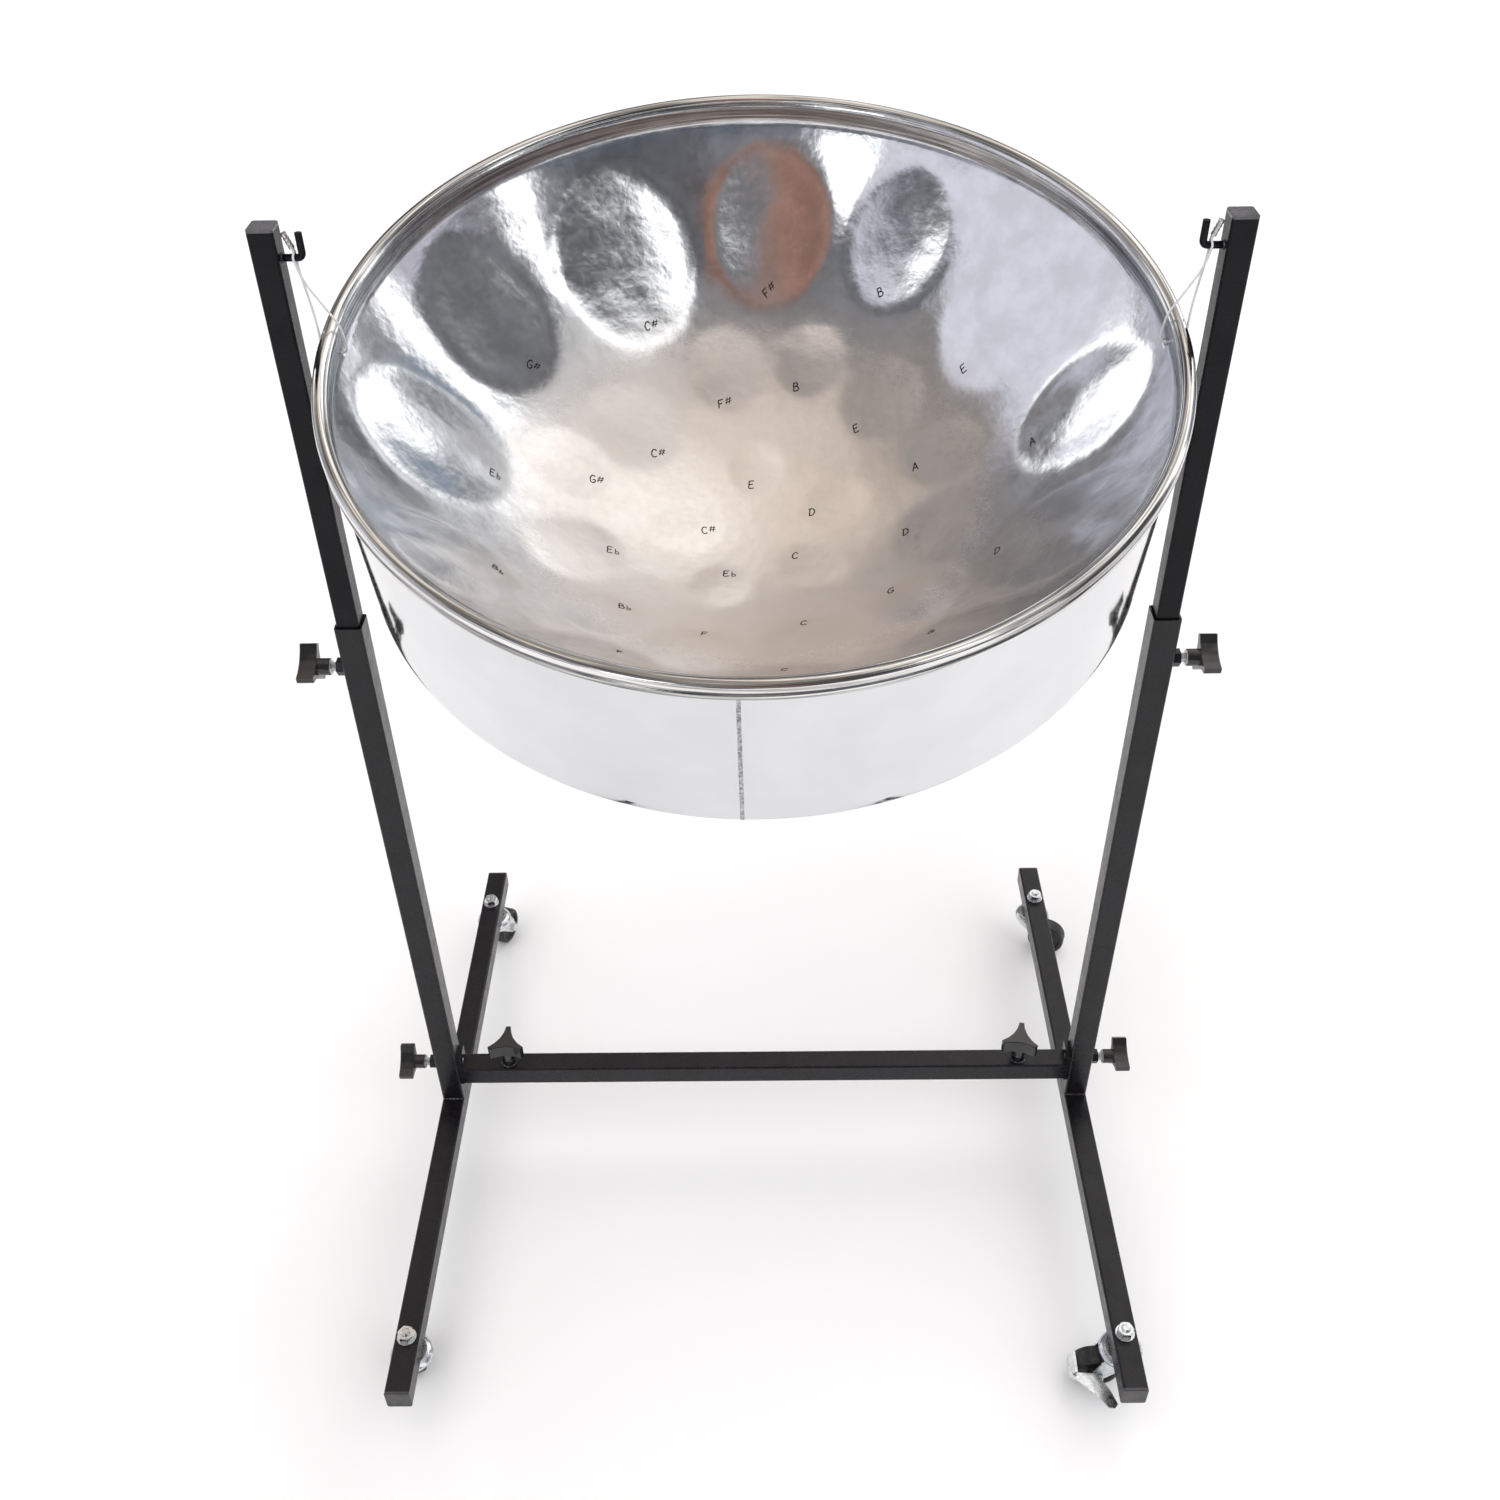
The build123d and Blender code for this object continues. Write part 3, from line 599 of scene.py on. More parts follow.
def open_holes(points, faces, turns, walls):
    """Opens the two string holes: the four quads round a grid point become a round hole.

    Each wall is one face of the sheet: its first point, the hole's row, which way its rows run.
    """
    columns = len(turns)
    points = list(map(np.asarray, points))
    around = [(-1, -1), (-1, 0), (-1, 1), (0, 1), (1, 1), (1, 0), (1, -1), (0, -1)]
    for turn in (HOLE_TURN, math.pi - HOLE_TURN):
        column = int(np.argmin(np.abs(turns - turn)))
        rings = []
        for first, row, step in walls:
            middle = first + row * columns + column
            outer = [first + (row + step * i) * columns + (column + j) % columns for i, j in around]
            faces = [f for f in faces if middle not in f]
            ring = []
            for v in outer:
                ray = points[v] - points[middle]
                ring.append(len(points))
                points.append(points[middle] + ray * HOLE_RADIUS / math.hypot(ray[1], ray[2]))
            faces += bridge(outer, ring)
            rings.append(ring)
        faces += bridge(*rings)
    used = sorted({v for f in faces for v in f})
    renumber = {v: i for i, v in enumerate(used)}
    return np.array([points[v] for v in used]), [tuple(renumber[v] for v in f) for f in faces]


def bridge(outer, inner):
    """Quads between two closed loops of as many points."""
    return list(zip(outer, outer[1:] + outer[:1], inner[1:] + inner[:1], inner))


# ------------------------------------------------------------------ note names
# Strokes of hand-drawn capitals in a box one unit wide and 1.5 high.
GLYPHS = {
    "A": [[(0, 0), (0.55, 1.5), (0.62, 1.45), (1, 0.05)], [(0.2, 0.5), (0.5, 0.56), (0.85, 0.58)]],
    "B": [[(0.1, 0), (0.12, 0.8), (0.16, 1.5)],
          [(0.1, 1.42), (0.6, 1.5), (0.82, 1.2), (0.6, 0.88), (0.18, 0.8)],
          [(0.18, 0.8), (0.75, 0.78), (0.98, 0.42), (0.7, 0.06), (0.05, 0)]],
    "C": [[(0.95, 1.2), (0.7, 1.48), (0.3, 1.36), (0.05, 0.8), (0.14, 0.2), (0.5, 0), (0.92, 0.2)]],
    "D": [[(0.12, 0.02), (0.14, 0.8), (0.2, 1.45)],
          [(-0.05, 1.4), (0.5, 1.48), (0.95, 1.1), (0.92, 0.45), (0.5, 0.02), (0, 0)]],
    "E": [[(0.95, 1.5), (0.5, 1.48), (0.14, 1.42), (0.08, 0.75), (0.04, 0.04), (0.45, 0),
           (0.9, 0.08)], [(0.1, 0.78), (0.45, 0.8), (0.75, 0.86)]],
    "F": [[(0.98, 1.52), (0.55, 1.46), (0.16, 1.4), (0.1, 0.7), (0, 0)],
          [(0.1, 0.76), (0.4, 0.78), (0.72, 0.84)]],
    "G": [[(0.92, 1.25), (0.65, 1.5), (0.25, 1.3), (0.04, 0.75), (0.2, 0.12), (0.6, 0),
           (0.95, 0.3), (0.96, 0.66), (0.5, 0.64)]],
    "#": [[(0.1, 0.1), (0.24, 0.5), (0.36, 0.95)], [(0.45, 0.1), (0.58, 0.5), (0.7, 0.98)],
          [(0, 0.34), (0.4, 0.4), (0.78, 0.46)], [(0.06, 0.64), (0.45, 0.7), (0.84, 0.78)]],
    "b": [[(0.12, 0.95), (0.1, 0.5), (0.08, 0.04), (0.4, 0.08), (0.5, 0.32), (0.34, 0.48),
           (0.1, 0.4)]],
}
# Size and rise of the signs beside a capital.
SMALL_SIGNS = {"#": (1.45, 0.3), "b": (1.4, 0.0)}
# Slant of the writing in degrees where it isn't upright, by (ring, name).
SLANTS = {(0, "F#"): 38, (0, "C#"): 20, (0, "E"): 8, (1, "F#"): 14, (1, "E"): 10,
          (0, "Bb"): -18, (1, "C#"): 8, (2, "C#"): 10}

# How far left the names of the far notes are written, in letter widths, by ring.
NAME_SHIFT = (0.0, 1.0, 0.6)


def note_names(ring, notes):
    """Marker strokes at the inner end of each note of one ring, lying on the metal."""
    points, faces = [], []
    for index, note in enumerate(notes):
        name, azimuth, polar, half_length = note[:4]
        place = polar - (half_length - NAME_INSETS[ring]) / DISH_RADIUS
        slant = math.radians(SLANTS.get((ring, name), 3 * math.sin(5 * index)))
        centre, out, side = dish_axes(azimuth, place)
        up = np.array([0, 1, 0]) - centre * centre[1]
        up /= np.linalg.norm(up)
        right = np.cross(up, -centre)
        across = math.cos(slant) * right + math.sin(slant) * up
        above = -math.sin(slant) * right + math.cos(slant) * up
        size = LETTER_HEIGHT / 1.5
        centred = -1.0 if len(name) > 1 else -0.5
        left = centred - NAME_SHIFT[ring] * max(0.0, 0.4 + math.sin(azimuth))
        for letter in name:
            small, rise = SMALL_SIGNS.get(letter, (1.0, 0.0))
            for stroke in GLYPHS[letter]:
                flat = smooth_line(stroke, 5) * small + (left, rise - 0.75)
                ray = centre * DISH_RADIUS + size * (flat[:, :1] * across + flat[:, 1:] * above)
                add_stroke(points, faces, ray, LETTER_STROKE / small ** 0.8)
            left += 1.3
    piece = add_mesh(f"note_names_{ring + 1}", points, faces, PAN)
    return outward(piece)


def add_stroke(points, faces, ray, half_width):
    """One pen stroke: a thin closed band that follows the hammered surface."""
    hub = np.array([0, 0, DISH_HEIGHT])
    unit = ray / np.linalg.norm(ray, axis=1)[:, None]
    marks = hammer_marks(hub + unit * DISH_RADIUS)
    lift = dish_lift(unit) + marks
    line = hub + unit * (DISH_RADIUS - lift)[:, None]
    along = np.gradient(line, axis=0)
    along /= np.linalg.norm(along, axis=1)[:, None]
    side = np.cross(along, unit)
    section = [(-1, 0.05), (-0.7, -0.13), (0, -0.18), (0.7, -0.13), (1, 0.05)]
    start = len(points)
    for centre, across, normal in zip(line, side, unit):
        for s, h in section:
            points.append(centre + across * s * half_width + normal * h)
    n, m = len(line), len(section)
    faces += grid_faces(n, m, start, wrap=True)
    faces.append(tuple(start + k for k in range(m)))
    faces.append(tuple(start + (n - 1) * m + k for k in reversed(range(m))))


# ------------------------------------------------------------------ rim and skirt
def chime_profile():
    """Closed profile of the folded rim: crown, two outside beads, flat foot."""
    outside = smooth_line([
        (285.5, -4.2), (285.8, -2.2), (287.0, -0.8), (289.2, -0.05), (291.4, -0.35), (293.4, -1.6),
        (294.35, -3.8), (294.2, -5.6), (293.2, -7.0), (292.9, -7.5), (293.3, -8.0),
        (294.25, -9.4), (294.3, -11.2), (293.4, -12.9), (292.0, -13.5)], 5)
    inside = [(285.5, -13.5), (285.5, -10.5), (285.5, -7.5)]
    return list(map(tuple, outside)) + inside


def rim():
    """The chime: the folded joint of drum head and skirt."""
    profile = np.array(chime_profile())
    turns = np.linspace(0, 2 * math.pi, COLUMNS, endpoint=False)
    points, faces = lathe(profile, turns)
    points = np.array(points)
    wobble = np.array([noise.noise(Vector(p) / 130) for p in points])
    points[:, 2] += np.minimum(0, 0.25 * wobble)
    piece = outward(add_mesh("rolled_rim", points, faces, PAN))
    steps = np.linalg.norm(np.diff(profile, axis=0), axis=1)
    across = np.repeat(np.append(0, np.cumsum(steps)), len(turns))
    add_streaks(piece, across, np.tile(turns, len(profile)))
    return piece


def drum_skirt():
    """The cut-off drum wall: rolled sheet with slight ripples, a rounded lower lip, holes."""
    turns = turn_angles(COLUMNS)
    low, high = -SKIRT_DEPTH, -CHIME_DEPTH + 0.4
    inner = SKIRT_RADIUS - SHEET
    heights = [high, -16.2, -HOLE_DEPTH, -21.8] + list(np.linspace(-27, low + 1.2, 24))
    lip = [(SKIRT_RADIUS - 0.12, low + 0.45), (SKIRT_RADIUS - 0.4, low + 0.08),
           (inner + 0.4, low + 0.08), (inner + 0.12, low + 0.45)]
    outside = [(SKIRT_RADIUS, z) for z in heights]
    inside = [(inner, z) for z in reversed(heights)]
    profile = outside + lip + inside
    points, faces = lathe(profile, turns)
    points = np.array(points)
    ripple = np.array([noise.noise(Vector(p) * 0.011) + 0.35 * noise.noise(Vector(p) * 0.03)
                       for p in points])
    depth = np.clip((-points[:, 2] - CHIME_DEPTH) / 14, 0, 1)
    points[:, :2] *= (1 - np.maximum(0, 0.16 * ripple * depth) / SKIRT_RADIUS)[:, None]
    hole_row = heights.index(-HOLE_DEPTH)
    walls = [(0, hole_row, 1), (0, len(profile) - 1 - hole_row, -1)]
    points, faces = open_holes(points, faces, turns, walls)
    return outward(add_mesh("drum_skirt", points, faces, PAN))


def seam():
    """The drum's welded side seam: a lumpy bead with an uneven edge."""
    rows, columns = 150, 9
    heights = np.linspace(-CHIME_DEPTH + 0.2, -SKIRT_DEPTH + 0.3, rows)
    middle = -math.pi / 2 + math.asin(SEAM_X / SKIRT_RADIUS)
    points = []
    for z in heights:
        for s in np.linspace(-1, 1, columns):
            edge = 0.5 * SEAM_WIDTH * (1 + 0.16 * noise.noise(Vector((s, 0, z / 3))))
            turn = middle + s * edge / SKIRT_RADIUS
            lump = noise.noise(Vector((s * 1.6, z / 2.2, 3))) + noise.noise(Vector((s * 3, z, 9)))
            height = (1 - s * s) ** 0.5 * (0.30 + 0.14 * lump) if abs(s) < 1 else -0.3
            r = SKIRT_RADIUS + min(0.5, height)
            points.append((r * math.cos(turn), r * math.sin(turn), z))
    back = len(points)
    faces = grid_faces(rows, columns, 0, wrap=False)
    for z in heights:
        for s in (-1, 1):
            turn = middle + s * 0.5 * SEAM_WIDTH / SKIRT_RADIUS
            r = SKIRT_RADIUS - 0.5
            points.append((r * math.cos(turn), r * math.sin(turn), z))
    for i in range(rows - 1):
        a, b = back + 2 * i, back + 2 * i + 1
        faces.append((a, b, b + 2, a + 2))
        first, last = i * columns, i * columns + columns - 1
        faces.append((first, a, a + 2, first + columns))
        faces.append((last, last + columns, b + 2, b))
    faces.append(tuple(range(columns)) + (back + 1, back))
    tail = (rows - 1) * columns
    faces.append(tuple(range(tail + columns - 1, tail - 1, -1)) + (back + 2 * rows - 2,
                                                                  back + 2 * rows - 1))
    return outward(add_mesh("side_seam", points, faces, PAN))


# ------------------------------------------------------------------ stage
# What the chrome mirrors: name, (azimuth, elevation), half size, edge softness, tone.
# Degrees: azimuth 0 is the player's side and 90 is the right, seen from the player.
ROOM_TONE = (0.20, 0.20, 0.215)
STUDIO = [
    ("ceiling", (0, 90), (360, 25), 0.3, (0.88, 0.785, 0.72)),
    ("back wall", (180, 63), (58, 16), 0.35, (0.90, 0.785, 0.69)),
    ("left rafters", (-92, 53), (36, 13), 0.4, (0.28, 0.26, 0.245)),
    ("front rafters", (-15, 53), (46, 12), 0.4, (0.25, 0.245, 0.25)),
    ("right scrim", (82, 57), (32, 15), 0.4, (0.66, 0.64, 0.63)),
    ("window wall", (142, 53), (34, 23), 0.3, (1.42, 1.38, 1.34)),
    ("left softbox", (-80, 22), (46, 18), 0.15, (0.78, 0.775, 0.85)),
    ("left edge", (-126, 21), (8, 8), 0.4, (1.6, 1.6, 1.6)),
    ("front lamp bank", (-39, 38), (22, 7), 0.35, (0.13, 0.13, 0.14)),
    ("front left strip", (-25, 20), (8, 11), 0.25, (2.3, 2.3, 2.3)),
    ("wooden door", (4, 35), (12, 12), 0.35, (0.30, 0.165, 0.125)),
    ("door frame", (19, 27), (6, 15), 0.3, (0.12, 0.12, 0.13)),
    ("equipment rack", (33, 26), (13, 17), 0.25, (0.12, 0.12, 0.13)),
    ("front right softbox", (45, 49), (11, 8), 0.25, (1.8, 1.8, 1.8)),
    ("softbox foot", (51, 37), (6, 6), 0.25, (2.0, 2.0, 2.0)),
    ("right strip", (64, 24), (5, 17), 0.25, (2.2, 2.2, 2.2)),
    ("curtain", (87, 30), (19, 13), 0.2, (0.18, 0.18, 0.19)),
    ("low reflector", (92, 12), (14, 5), 0.4, (0.62, 0.60, 0.68)),
    ("far strip", (111, 25), (4, 18), 0.3, (1.8, 1.8, 1.8)),
    ("blind", (122, 28), (6, 8), 0.3, (0.24, 0.29, 0.36)),
    ("far window", (141, 28), (11, 12), 0.3, (1.8, 1.8, 1.8)),
    ("skirting", (0, 8), (58, 3.5), 0.4, (0.10, 0.125, 0.16)),
]


def world():
    """Studio surroundings: pale backdrop for the camera, a cluttered room for the chrome."""
    made = bpy.data.worlds.new("studio")
    bpy.context.scene.world = made
    made.use_nodes = True
    tree = made.node_tree
    nodes, links = tree.nodes, tree.links
    nodes.clear()

    def maths(operation, first, second=0.0, third=0.0):
        node = nodes.new("ShaderNodeMath")
        node.operation = operation
        for socket, value in zip(node.inputs, (first, second, third)):
            if isinstance(value, bpy.types.NodeSocket):
                links.new(value, socket)
            else:
                socket.default_value = value
        return node.outputs[0]

    ray = nodes.new("ShaderNodeTexCoord").outputs["Generated"]
    split = nodes.new("ShaderNodeSeparateXYZ")
    links.new(ray, split.inputs[0])
    x, y, z = split.outputs
    azimuth = maths("DEGREES", maths("ARCTAN2", x, maths("MULTIPLY", y, -1.0)))
    elevation = maths("DEGREES", maths("ARCSINE", z))
    color = (*ROOM_TONE, 1)
    for name, place, half, soft, tone in STUDIO:
        turn = maths("SUBTRACT", azimuth, place[0])
        turn = maths("SUBTRACT", maths("MODULO", maths("ADD", turn, 540.0), 360.0), 180.0)
        across = maths("DIVIDE", maths("ABSOLUTE", turn), half[0])
        up = maths("DIVIDE", maths("ABSOLUTE", maths("SUBTRACT", elevation, place[1])), half[1])
        edge = nodes.new("ShaderNodeMapRange")
        edge.interpolation_type = "SMOOTHSTEP"
        links.new(maths("SMOOTH_MAX", across, up, 0.3), edge.inputs["Value"])
        edge.inputs["From Min"].default_value = 1 + soft
        edge.inputs["From Max"].default_value = 1 - soft
        mix = nodes.new("ShaderNodeMix")
        mix.data_type = "RGBA"
        mix.label = name
        links.new(edge.outputs[0], mix.inputs[0])
        if isinstance(color, bpy.types.NodeSocket):
            links.new(color, mix.inputs[6])
        else:
            mix.inputs[6].default_value = color
        mix.inputs[7].default_value = (*tone, 1)
        color = mix.outputs[2]
    clutter = nodes.new("ShaderNodeTexNoise")
    links.new(ray, clutter.inputs["Vector"])
    clutter.inputs["Scale"].default_value = 8
    clutter.inputs["Detail"].default_value = 4
    level = nodes.new("ShaderNodeRGBToBW")
    links.new(color, level.inputs[0])
    dark = maths("MAXIMUM", maths("SUBTRACT", 1.0, maths("MULTIPLY", level.outputs[0], 1.4)), 0.0)
    wave = maths("MULTIPLY", maths("SUBTRACT", clutter.outputs["Fac"], 0.5), dark)
    reflected = nodes.new("ShaderNodeBackground")
    links.new(color, reflected.inputs["Color"])
    links.new(maths("MULTIPLY_ADD", wave, 2.6, 1.0), reflected.inputs["Strength"])
    seen = nodes.new("ShaderNodeBackground")
    seen.inputs["Color"].default_value = (0.94, 0.94, 0.945, 1)
    pick = nodes.new("ShaderNodeMixShader")
    links.new(nodes.new("ShaderNodeLightPath").outputs["Is Camera Ray"], pick.inputs[0])
    links.new(reflected.outputs[0], pick.inputs[1])
    links.new(seen.outputs[0], pick.inputs[2])
    links.new(pick.outputs[0], nodes.new("ShaderNodeOutputWorld").inputs[0])


def floor():
    """A plain pale floor that meets the backdrop far away."""
    piece = add_mesh("studio_floor", [(-14, -14, 0), (14, -14, 0), (14, 14, 0), (-14, 14, 0)],
                     [(0, 1, 2, 3)], smooth=False)
    s = Shader("floor_white", (0.86, 0.86, 0.865), 0.0, 0.8)
    s.surface.inputs["Emission Color"].default_value = (1, 1, 1, 1)
    s.surface.inputs["Emission Strength"].default_value = 0.05
    s.roughness(s.between(s.noise(6, 3), 0.3, 0.7, 0.75, 0.85))
    paint(piece, s.material)


def soft_sun(name, azimuth, elevation, width, strength):
    """Even light from one side of the studio; the chrome doesn't mirror it."""
    data = bpy.data.lights.new(name, "SUN")
    data.energy = strength
    data.angle = math.radians(width)
    lamp = bpy.data.objects.new(name, data)
    turn, rise = math.radians(azimuth), math.radians(elevation)
    back = Vector((math.sin(turn) * math.cos(rise), -math.cos(turn) * math.cos(rise),
                   math.sin(rise)))
    lamp.rotation_euler = (-back).to_track_quat("-Z", "Y").to_euler()
    lamp.visible_glossy = False
    bpy.context.scene.collection.objects.link(lamp)


def camera():
    data = bpy.data.cameras.new("camera")
    data.lens = CAMERA_LENS
    data.sensor_width = 36
    made = bpy.data.objects.new("camera", data)
    made.location = CAMERA_PLACE
    yaw = Matrix.Rotation(-CAMERA_YAW, 4, "Z")
    pitch = Matrix.Rotation(math.pi / 2 + CAMERA_PITCH, 4, "X")
    made.rotation_euler = (yaw @ pitch @ Matrix.Rotation(CAMERA_ROLL, 4, "Z")).to_euler()
    bpy.context.scene.collection.objects.link(made)
    bpy.context.scene.camera = made


def stage():
    bpy.context.scene.view_settings.view_transform = "Standard"
    world()
    floor()
    soft_sun("key", -40, 58, 50, 1.0)
    soft_sun("fill", 70, 50, 60, 0.65)
    soft_sun("back", 180, 60, 70, 0.55)
    camera()


# ------------------------------------------------------------------ the object
def dress_frame():
    """Gives every CAD node its material."""
    looks = {
        "powder": powder_coat("powder_coat_black", 0.34),
        "mast": powder_coat("powder_coat_mast", 0.16),
        "cap": cap_plastic("cap_plastic", 0.047, 0.44),
        "top cap": cap_plastic("cap_top", 0.10, 0.24),
        "knob": knob_plastic(), "zinc": zinc_plate(), "wheel": wheel_plastic(),
        "sleeve": aluminium(), "nylon": nylon(),
    }
    for name, piece in NODES.items():
        if name.endswith("_grip"):
            look = "knob"
        elif name.endswith("_post_cap"):
            look = "top cap"
        elif name.endswith("_caps"):
            look = "cap"
        elif name.endswith(("_upper_post", "_hook")):
            look = "mast"
        elif name.endswith("_wheel"):
            look = "wheel"
        elif name.endswith("_hang_string"):
            look = "nylon"
        elif name.endswith("_crimp_sleeve"):
            look = "sleeve"
        elif name.startswith("caster_") or name.endswith(("_stud", "_fork", "_axle", "_lever")):
            look = "zinc"
        else:
            look = "powder"
        paint(piece, looks[look])


def round_edges(piece, width):
    """Rounds a CAD piece's sharp edges with modifiers, so its own mesh stays as it is."""
    weld = piece.modifiers.new("weld", "WELD")
    weld.merge_threshold = 0.00001
    bevel = piece.modifiers.new("rounding", "BEVEL")
    bevel.width = width
    bevel.segments = 3
    bevel.limit_method = "ANGLE"
    bevel.angle_limit = math.radians(32)
    bevel.harden_normals = True


def round_frame():
    """Softens the edges that moulding, pressing or plating leaves round."""
    widths = {"_grip": 0.0006, "_cap": 0.0004, "_caps": 0.0004, "_wheel": 0.0009, "_fork": 0.0004,
              "_lever": 0.0005, "_nuts": 0.0004, "_hook": 0.0006, "_sleeve": 0.0003,
              "_washers": 0.0003, "_axle": 0.0003, "_races": 0.0004}
    for name, piece in NODES.items():
        for ending, width in widths.items():
            if name.endswith(ending):
                round_edges(piece, width)


def knob_axis(knob):
    """The knob's screw axis: a point on it and its direction out of the tube."""
    for joint in frame["record"]["behaviour"]["joints"]:
        if joint["name"] == knob + "_turn":
            return Vector(joint["pos_m"]), Vector(joint["axis"]).normalized()
    raise KeyError(knob)


def along_axis(node, place, axis):
    """How far a node reaches from place along the axis, lowest and highest."""
    low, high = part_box(node)
    reach = [axis.dot(Vector(corner) - place) for corner in (low, high)]
    return min(reach), max(reach)


def axis_matrix(place, axis):
    """From millimetres about Z to metres about the axis through place."""
    turn = Vector((0, 0, 1)).rotation_difference(axis).to_matrix().to_4x4()
    return Matrix.Translation(place) @ turn @ Matrix.Scale(MM, 4)


def threaded_stud(knob, metal):
    """The M8 screw with its helical thread, in place of the plain CAD cylinder."""
    place, axis = knob_axis(knob)
    low, high = (reach / MM for reach in along_axis(knob + "_stud", place, axis))
    columns = THREAD_COLUMNS
    rows = int((high - low) / THREAD_PITCH * THREAD_STEPS)
    points = []
    for i in range(rows + 1):
        height = low + (high - low) * i / rows
        for j in range(columns):
            turn = 2 * math.pi * j / columns
            phase = (height / THREAD_PITCH - j / columns) % 1
            crest = min(1.0, max(0.0, 1.5 * (1 - abs(2 * phase - 1)) - 0.15))
            tip = min(1.0, 0.82 + (height - low) / 6)
            radius = tip * (THREAD_ROOT + (THREAD_CREST - THREAD_ROOT) * crest)
            points.append((radius * math.cos(turn), radius * math.sin(turn), height))
    faces = grid_faces(rows + 1, columns)
    faces.append(tuple(reversed(range(columns))))
    faces.append(tuple(range(rows * columns, (rows + 1) * columns)))
    piece = outward(add_mesh(knob + "_thread", points, faces, axis_matrix(place, axis)))
    paint(piece, metal)
    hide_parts(knob + "_stud")
    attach(piece, knob)


def hub_ring(knob, metal):
    """The bright end of the metal insert, let into the face of the knob's hub."""
    place, axis = knob_axis(knob)
    low = along_axis(knob + "_grip", place, axis)[0] / MM
    profile = [(4.15, low + 0.5), (6.5, low + 0.5), (6.5, low - 0.05), (6.2, low - 0.22),
               (4.6, low - 0.25), (4.15, low - 0.1)]
    points, faces = lathe(profile, np.linspace(0, 2 * math.pi, 48, endpoint=False))
    piece = outward(add_mesh(knob + "_insert", points, faces, axis_matrix(place, axis)))
    paint(piece, metal)
    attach(piece, knob)


def weld_bead(name, body, line, closed, radius, coat):
    """A run of weld: overlapping ripples of uneven width along a line in metres."""
    line = np.asarray(line, float) / MM
    ends = np.roll(line, -1, axis=0) if closed else line[1:]
    starts = line if closed else line[:-1]
    path = []
    for start, end in zip(starts, ends):
        count = max(2, int(np.linalg.norm(end - start) / 0.45))
        path += [start + (end - start) * i / count for i in range(count)]
    if not closed:
        path.append(line[-1])
    path = np.array(path)
    ahead = np.roll(path, -1, axis=0) - np.roll(path, 1, axis=0)
    if not closed:
        ahead = np.gradient(path, axis=0)
    columns = 10
    points = []
    for i, (centre, along) in enumerate(zip(path, ahead)):
        along = Vector(along).normalized()
        first = along.cross(Vector((0.31, 0.52, 0.79))).normalized()
        second = along.cross(first)
        ripple = 0.80 + 0.22 * abs(math.sin(i * 0.45 * math.pi / 1.7)) ** 0.6
        taper = 1.0 if closed else min(1.0, 0.45 + 0.2 * min(i, len(path) - 1 - i))
        for j in range(columns):
            turn = 2 * math.pi * j / columns
            lump = 1 + 0.22 * noise.noise(Vector(centre) / 1.3 + Vector((j, 0, 0)) * 0.2)
            reach = radius / MM * ripple * taper * lump
            around = math.cos(turn) * first + math.sin(turn) * second
            points.append(Vector(centre) + reach * around)
    rows = len(path)
    faces = grid_faces(rows, columns)
    if closed:
        last = (rows - 1) * columns
        for j in range(columns):
            k = (j + 1) % columns
            faces.append((last + j, last + k, k, j))
    else:
        faces.append(tuple(reversed(range(columns))))
        faces.append(tuple(range((rows - 1) * columns, rows * columns)))
    piece = outward(add_mesh(name, points, faces, Matrix.Scale(MM, 4)))
    paint(piece, coat)
    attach(piece, body)


def ring_line(centre, axis, radius, count=40):
    """A circle's points about an axis, for a weld round a nut or a bar."""
    turn = Vector((0, 0, 1)).rotation_difference(axis)
    line = []
    for i in range(count):
        angle = 2 * math.pi * i / count
        line.append(centre + turn @ Vector((radius * math.cos(angle), radius * math.sin(angle), 0)))
    return line


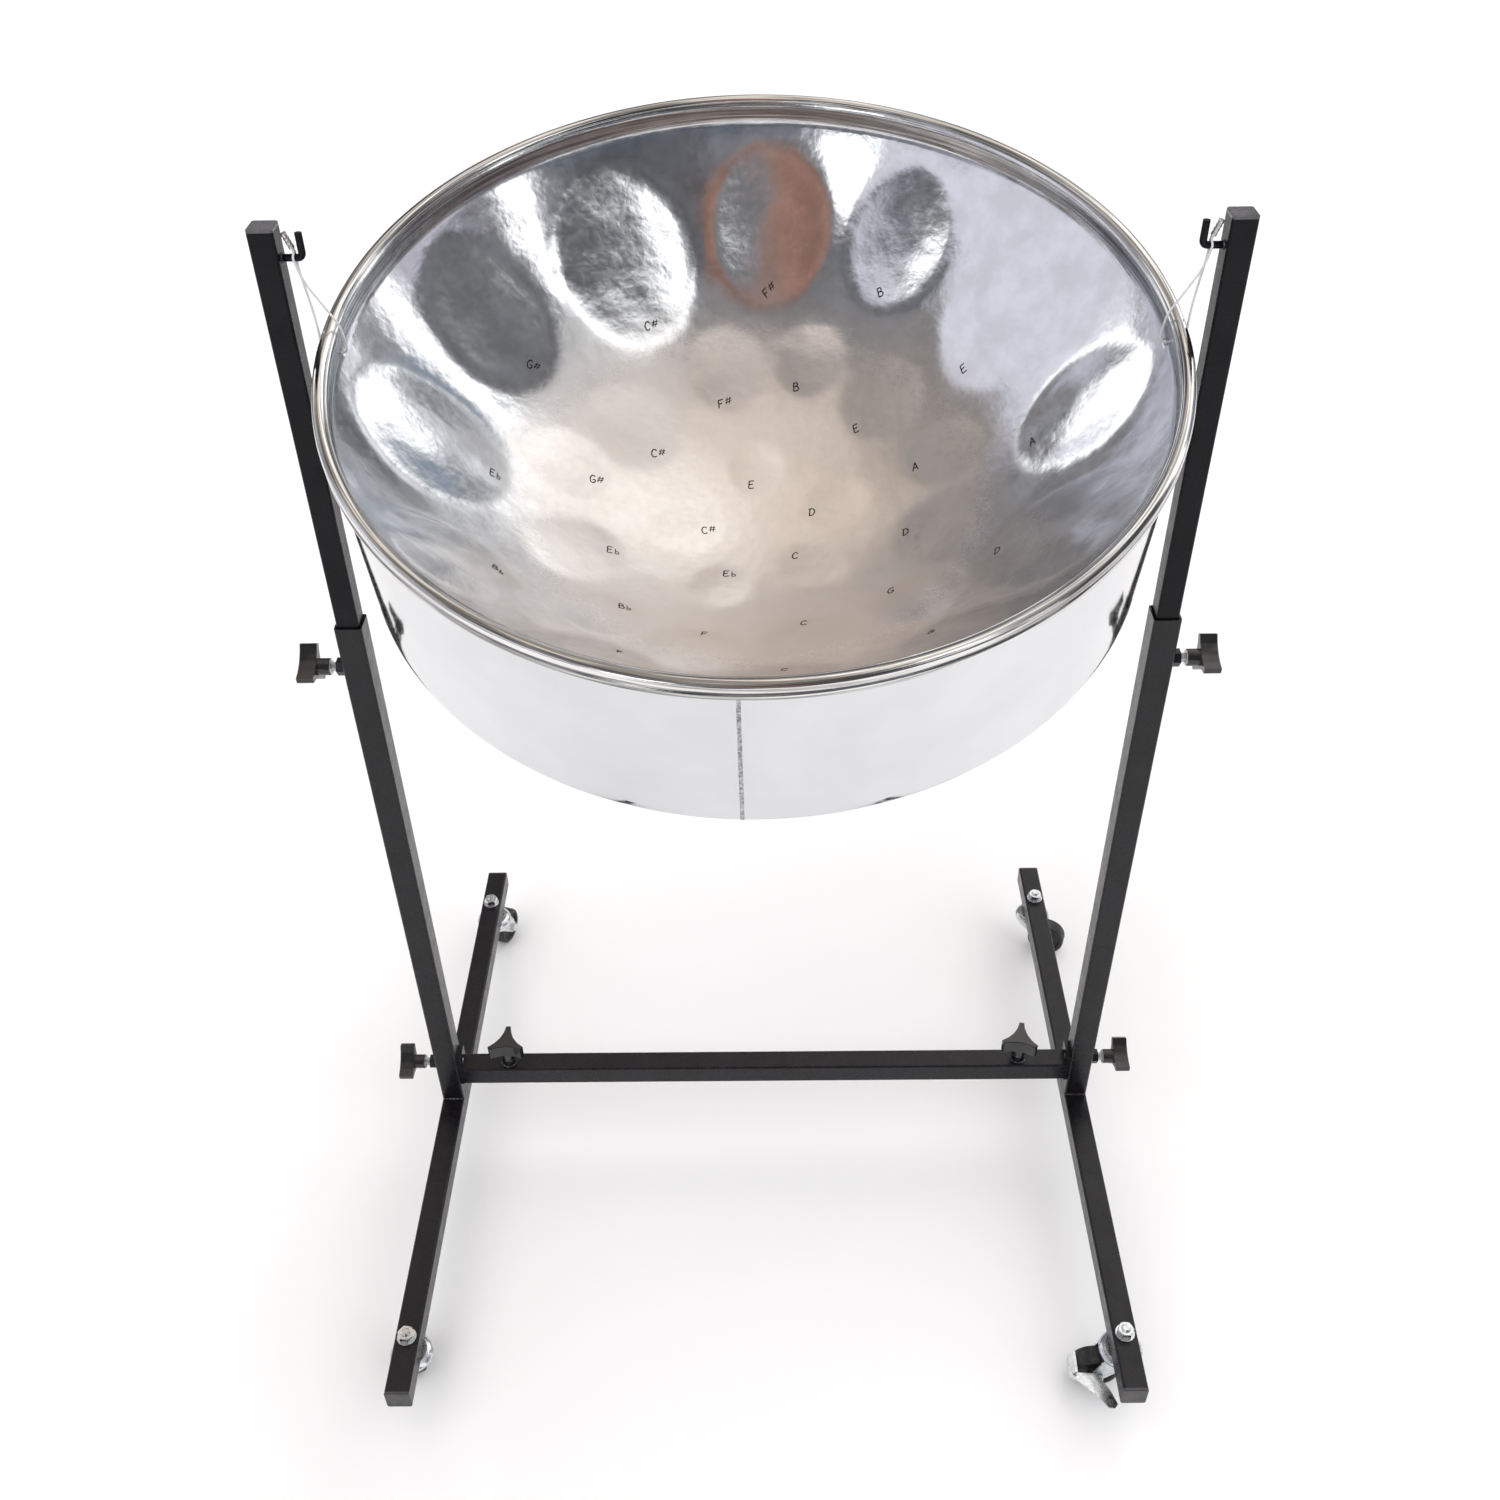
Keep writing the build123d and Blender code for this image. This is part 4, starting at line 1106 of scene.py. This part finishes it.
def weld_stand():
    """Weld runs where the posts stand on the foot bars, round the nuts and the hooks."""
    coat = weld_black()
    for side in ("left", "right"):
        low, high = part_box(side + "_lower_post")
        for end, y in (("front", low.y), ("rear", high.y)):
            line = [(low.x + POST_WELD_INSET, y, low.z), (high.x - POST_WELD_INSET, y, low.z)]
            weld_bead(f"{side}_post_{end}_weld", "root", line, False, POST_WELD_RADIUS, coat)
        hook_low, hook_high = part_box(side + "_hook")
        face = hook_low.x if side == "left" else hook_high.x
        centre = Vector((face, 0, hook_low.z + (hook_high.y - hook_low.y) / 2))
        line = ring_line(centre, Vector((1, 0, 0)), HOOK_WELD_RING, 24)
        weld_bead(side + "_hook_weld", side + "_mast", line, True, HOOK_WELD_RADIUS, coat)
        for knob in ("mast", "leg", "crossbar"):
            place, axis = knob_axis(f"{side}_{knob}_knob")
            tube = "crossbar" if knob == "crossbar" else side + "_lower_post"
            centre = place + axis * along_axis(tube, place, axis)[1]
            line = ring_line(centre, axis, NUT_WELD_RING)
            weld_bead(f"{side}_{knob}_nut_weld", "root", line, True, NUT_WELD_RADIUS, coat)


def build_pan():
    """The pan's four steel pieces in place of the plain CAD solids, and the note names."""
    bowl = hammered_bowl()
    paint(bowl, bowl_chrome())
    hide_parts("pan_bowl")
    chime = rim()
    paint(chime, rim_chrome())
    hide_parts("chime_rim")
    skirt = drum_skirt()
    paint(skirt, skirt_chrome())
    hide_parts("pan_skirt")
    line = seam()
    paint(line, weld_grey())
    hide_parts("skirt_weld_seam")
    pieces = [bowl, chime, skirt, line]
    table = note_table()
    first, second = len(OUTER_NOTES), len(OUTER_NOTES) + len(MIDDLE_NOTES)
    marker = ink()
    for ring, notes in enumerate((table[:first], table[first:second], table[second:])):
        names = note_names(ring, notes)
        paint(names, marker)
        pieces.append(names)
    for piece in pieces:
        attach(piece, "pan")


def finish_knobs():
    """Threads and metal inserts of the six clamp knobs."""
    zinc = bpy.data.materials["zinc_plate"]
    for side in ("left", "right"):
        for kind in ("mast", "leg", "crossbar"):
            threaded_stud(f"{side}_{kind}_knob", zinc)
            hub_ring(f"{side}_{kind}_knob", zinc)


stage()
dress_frame()
round_frame()
build_pan()
finish_knobs()
weld_stand()
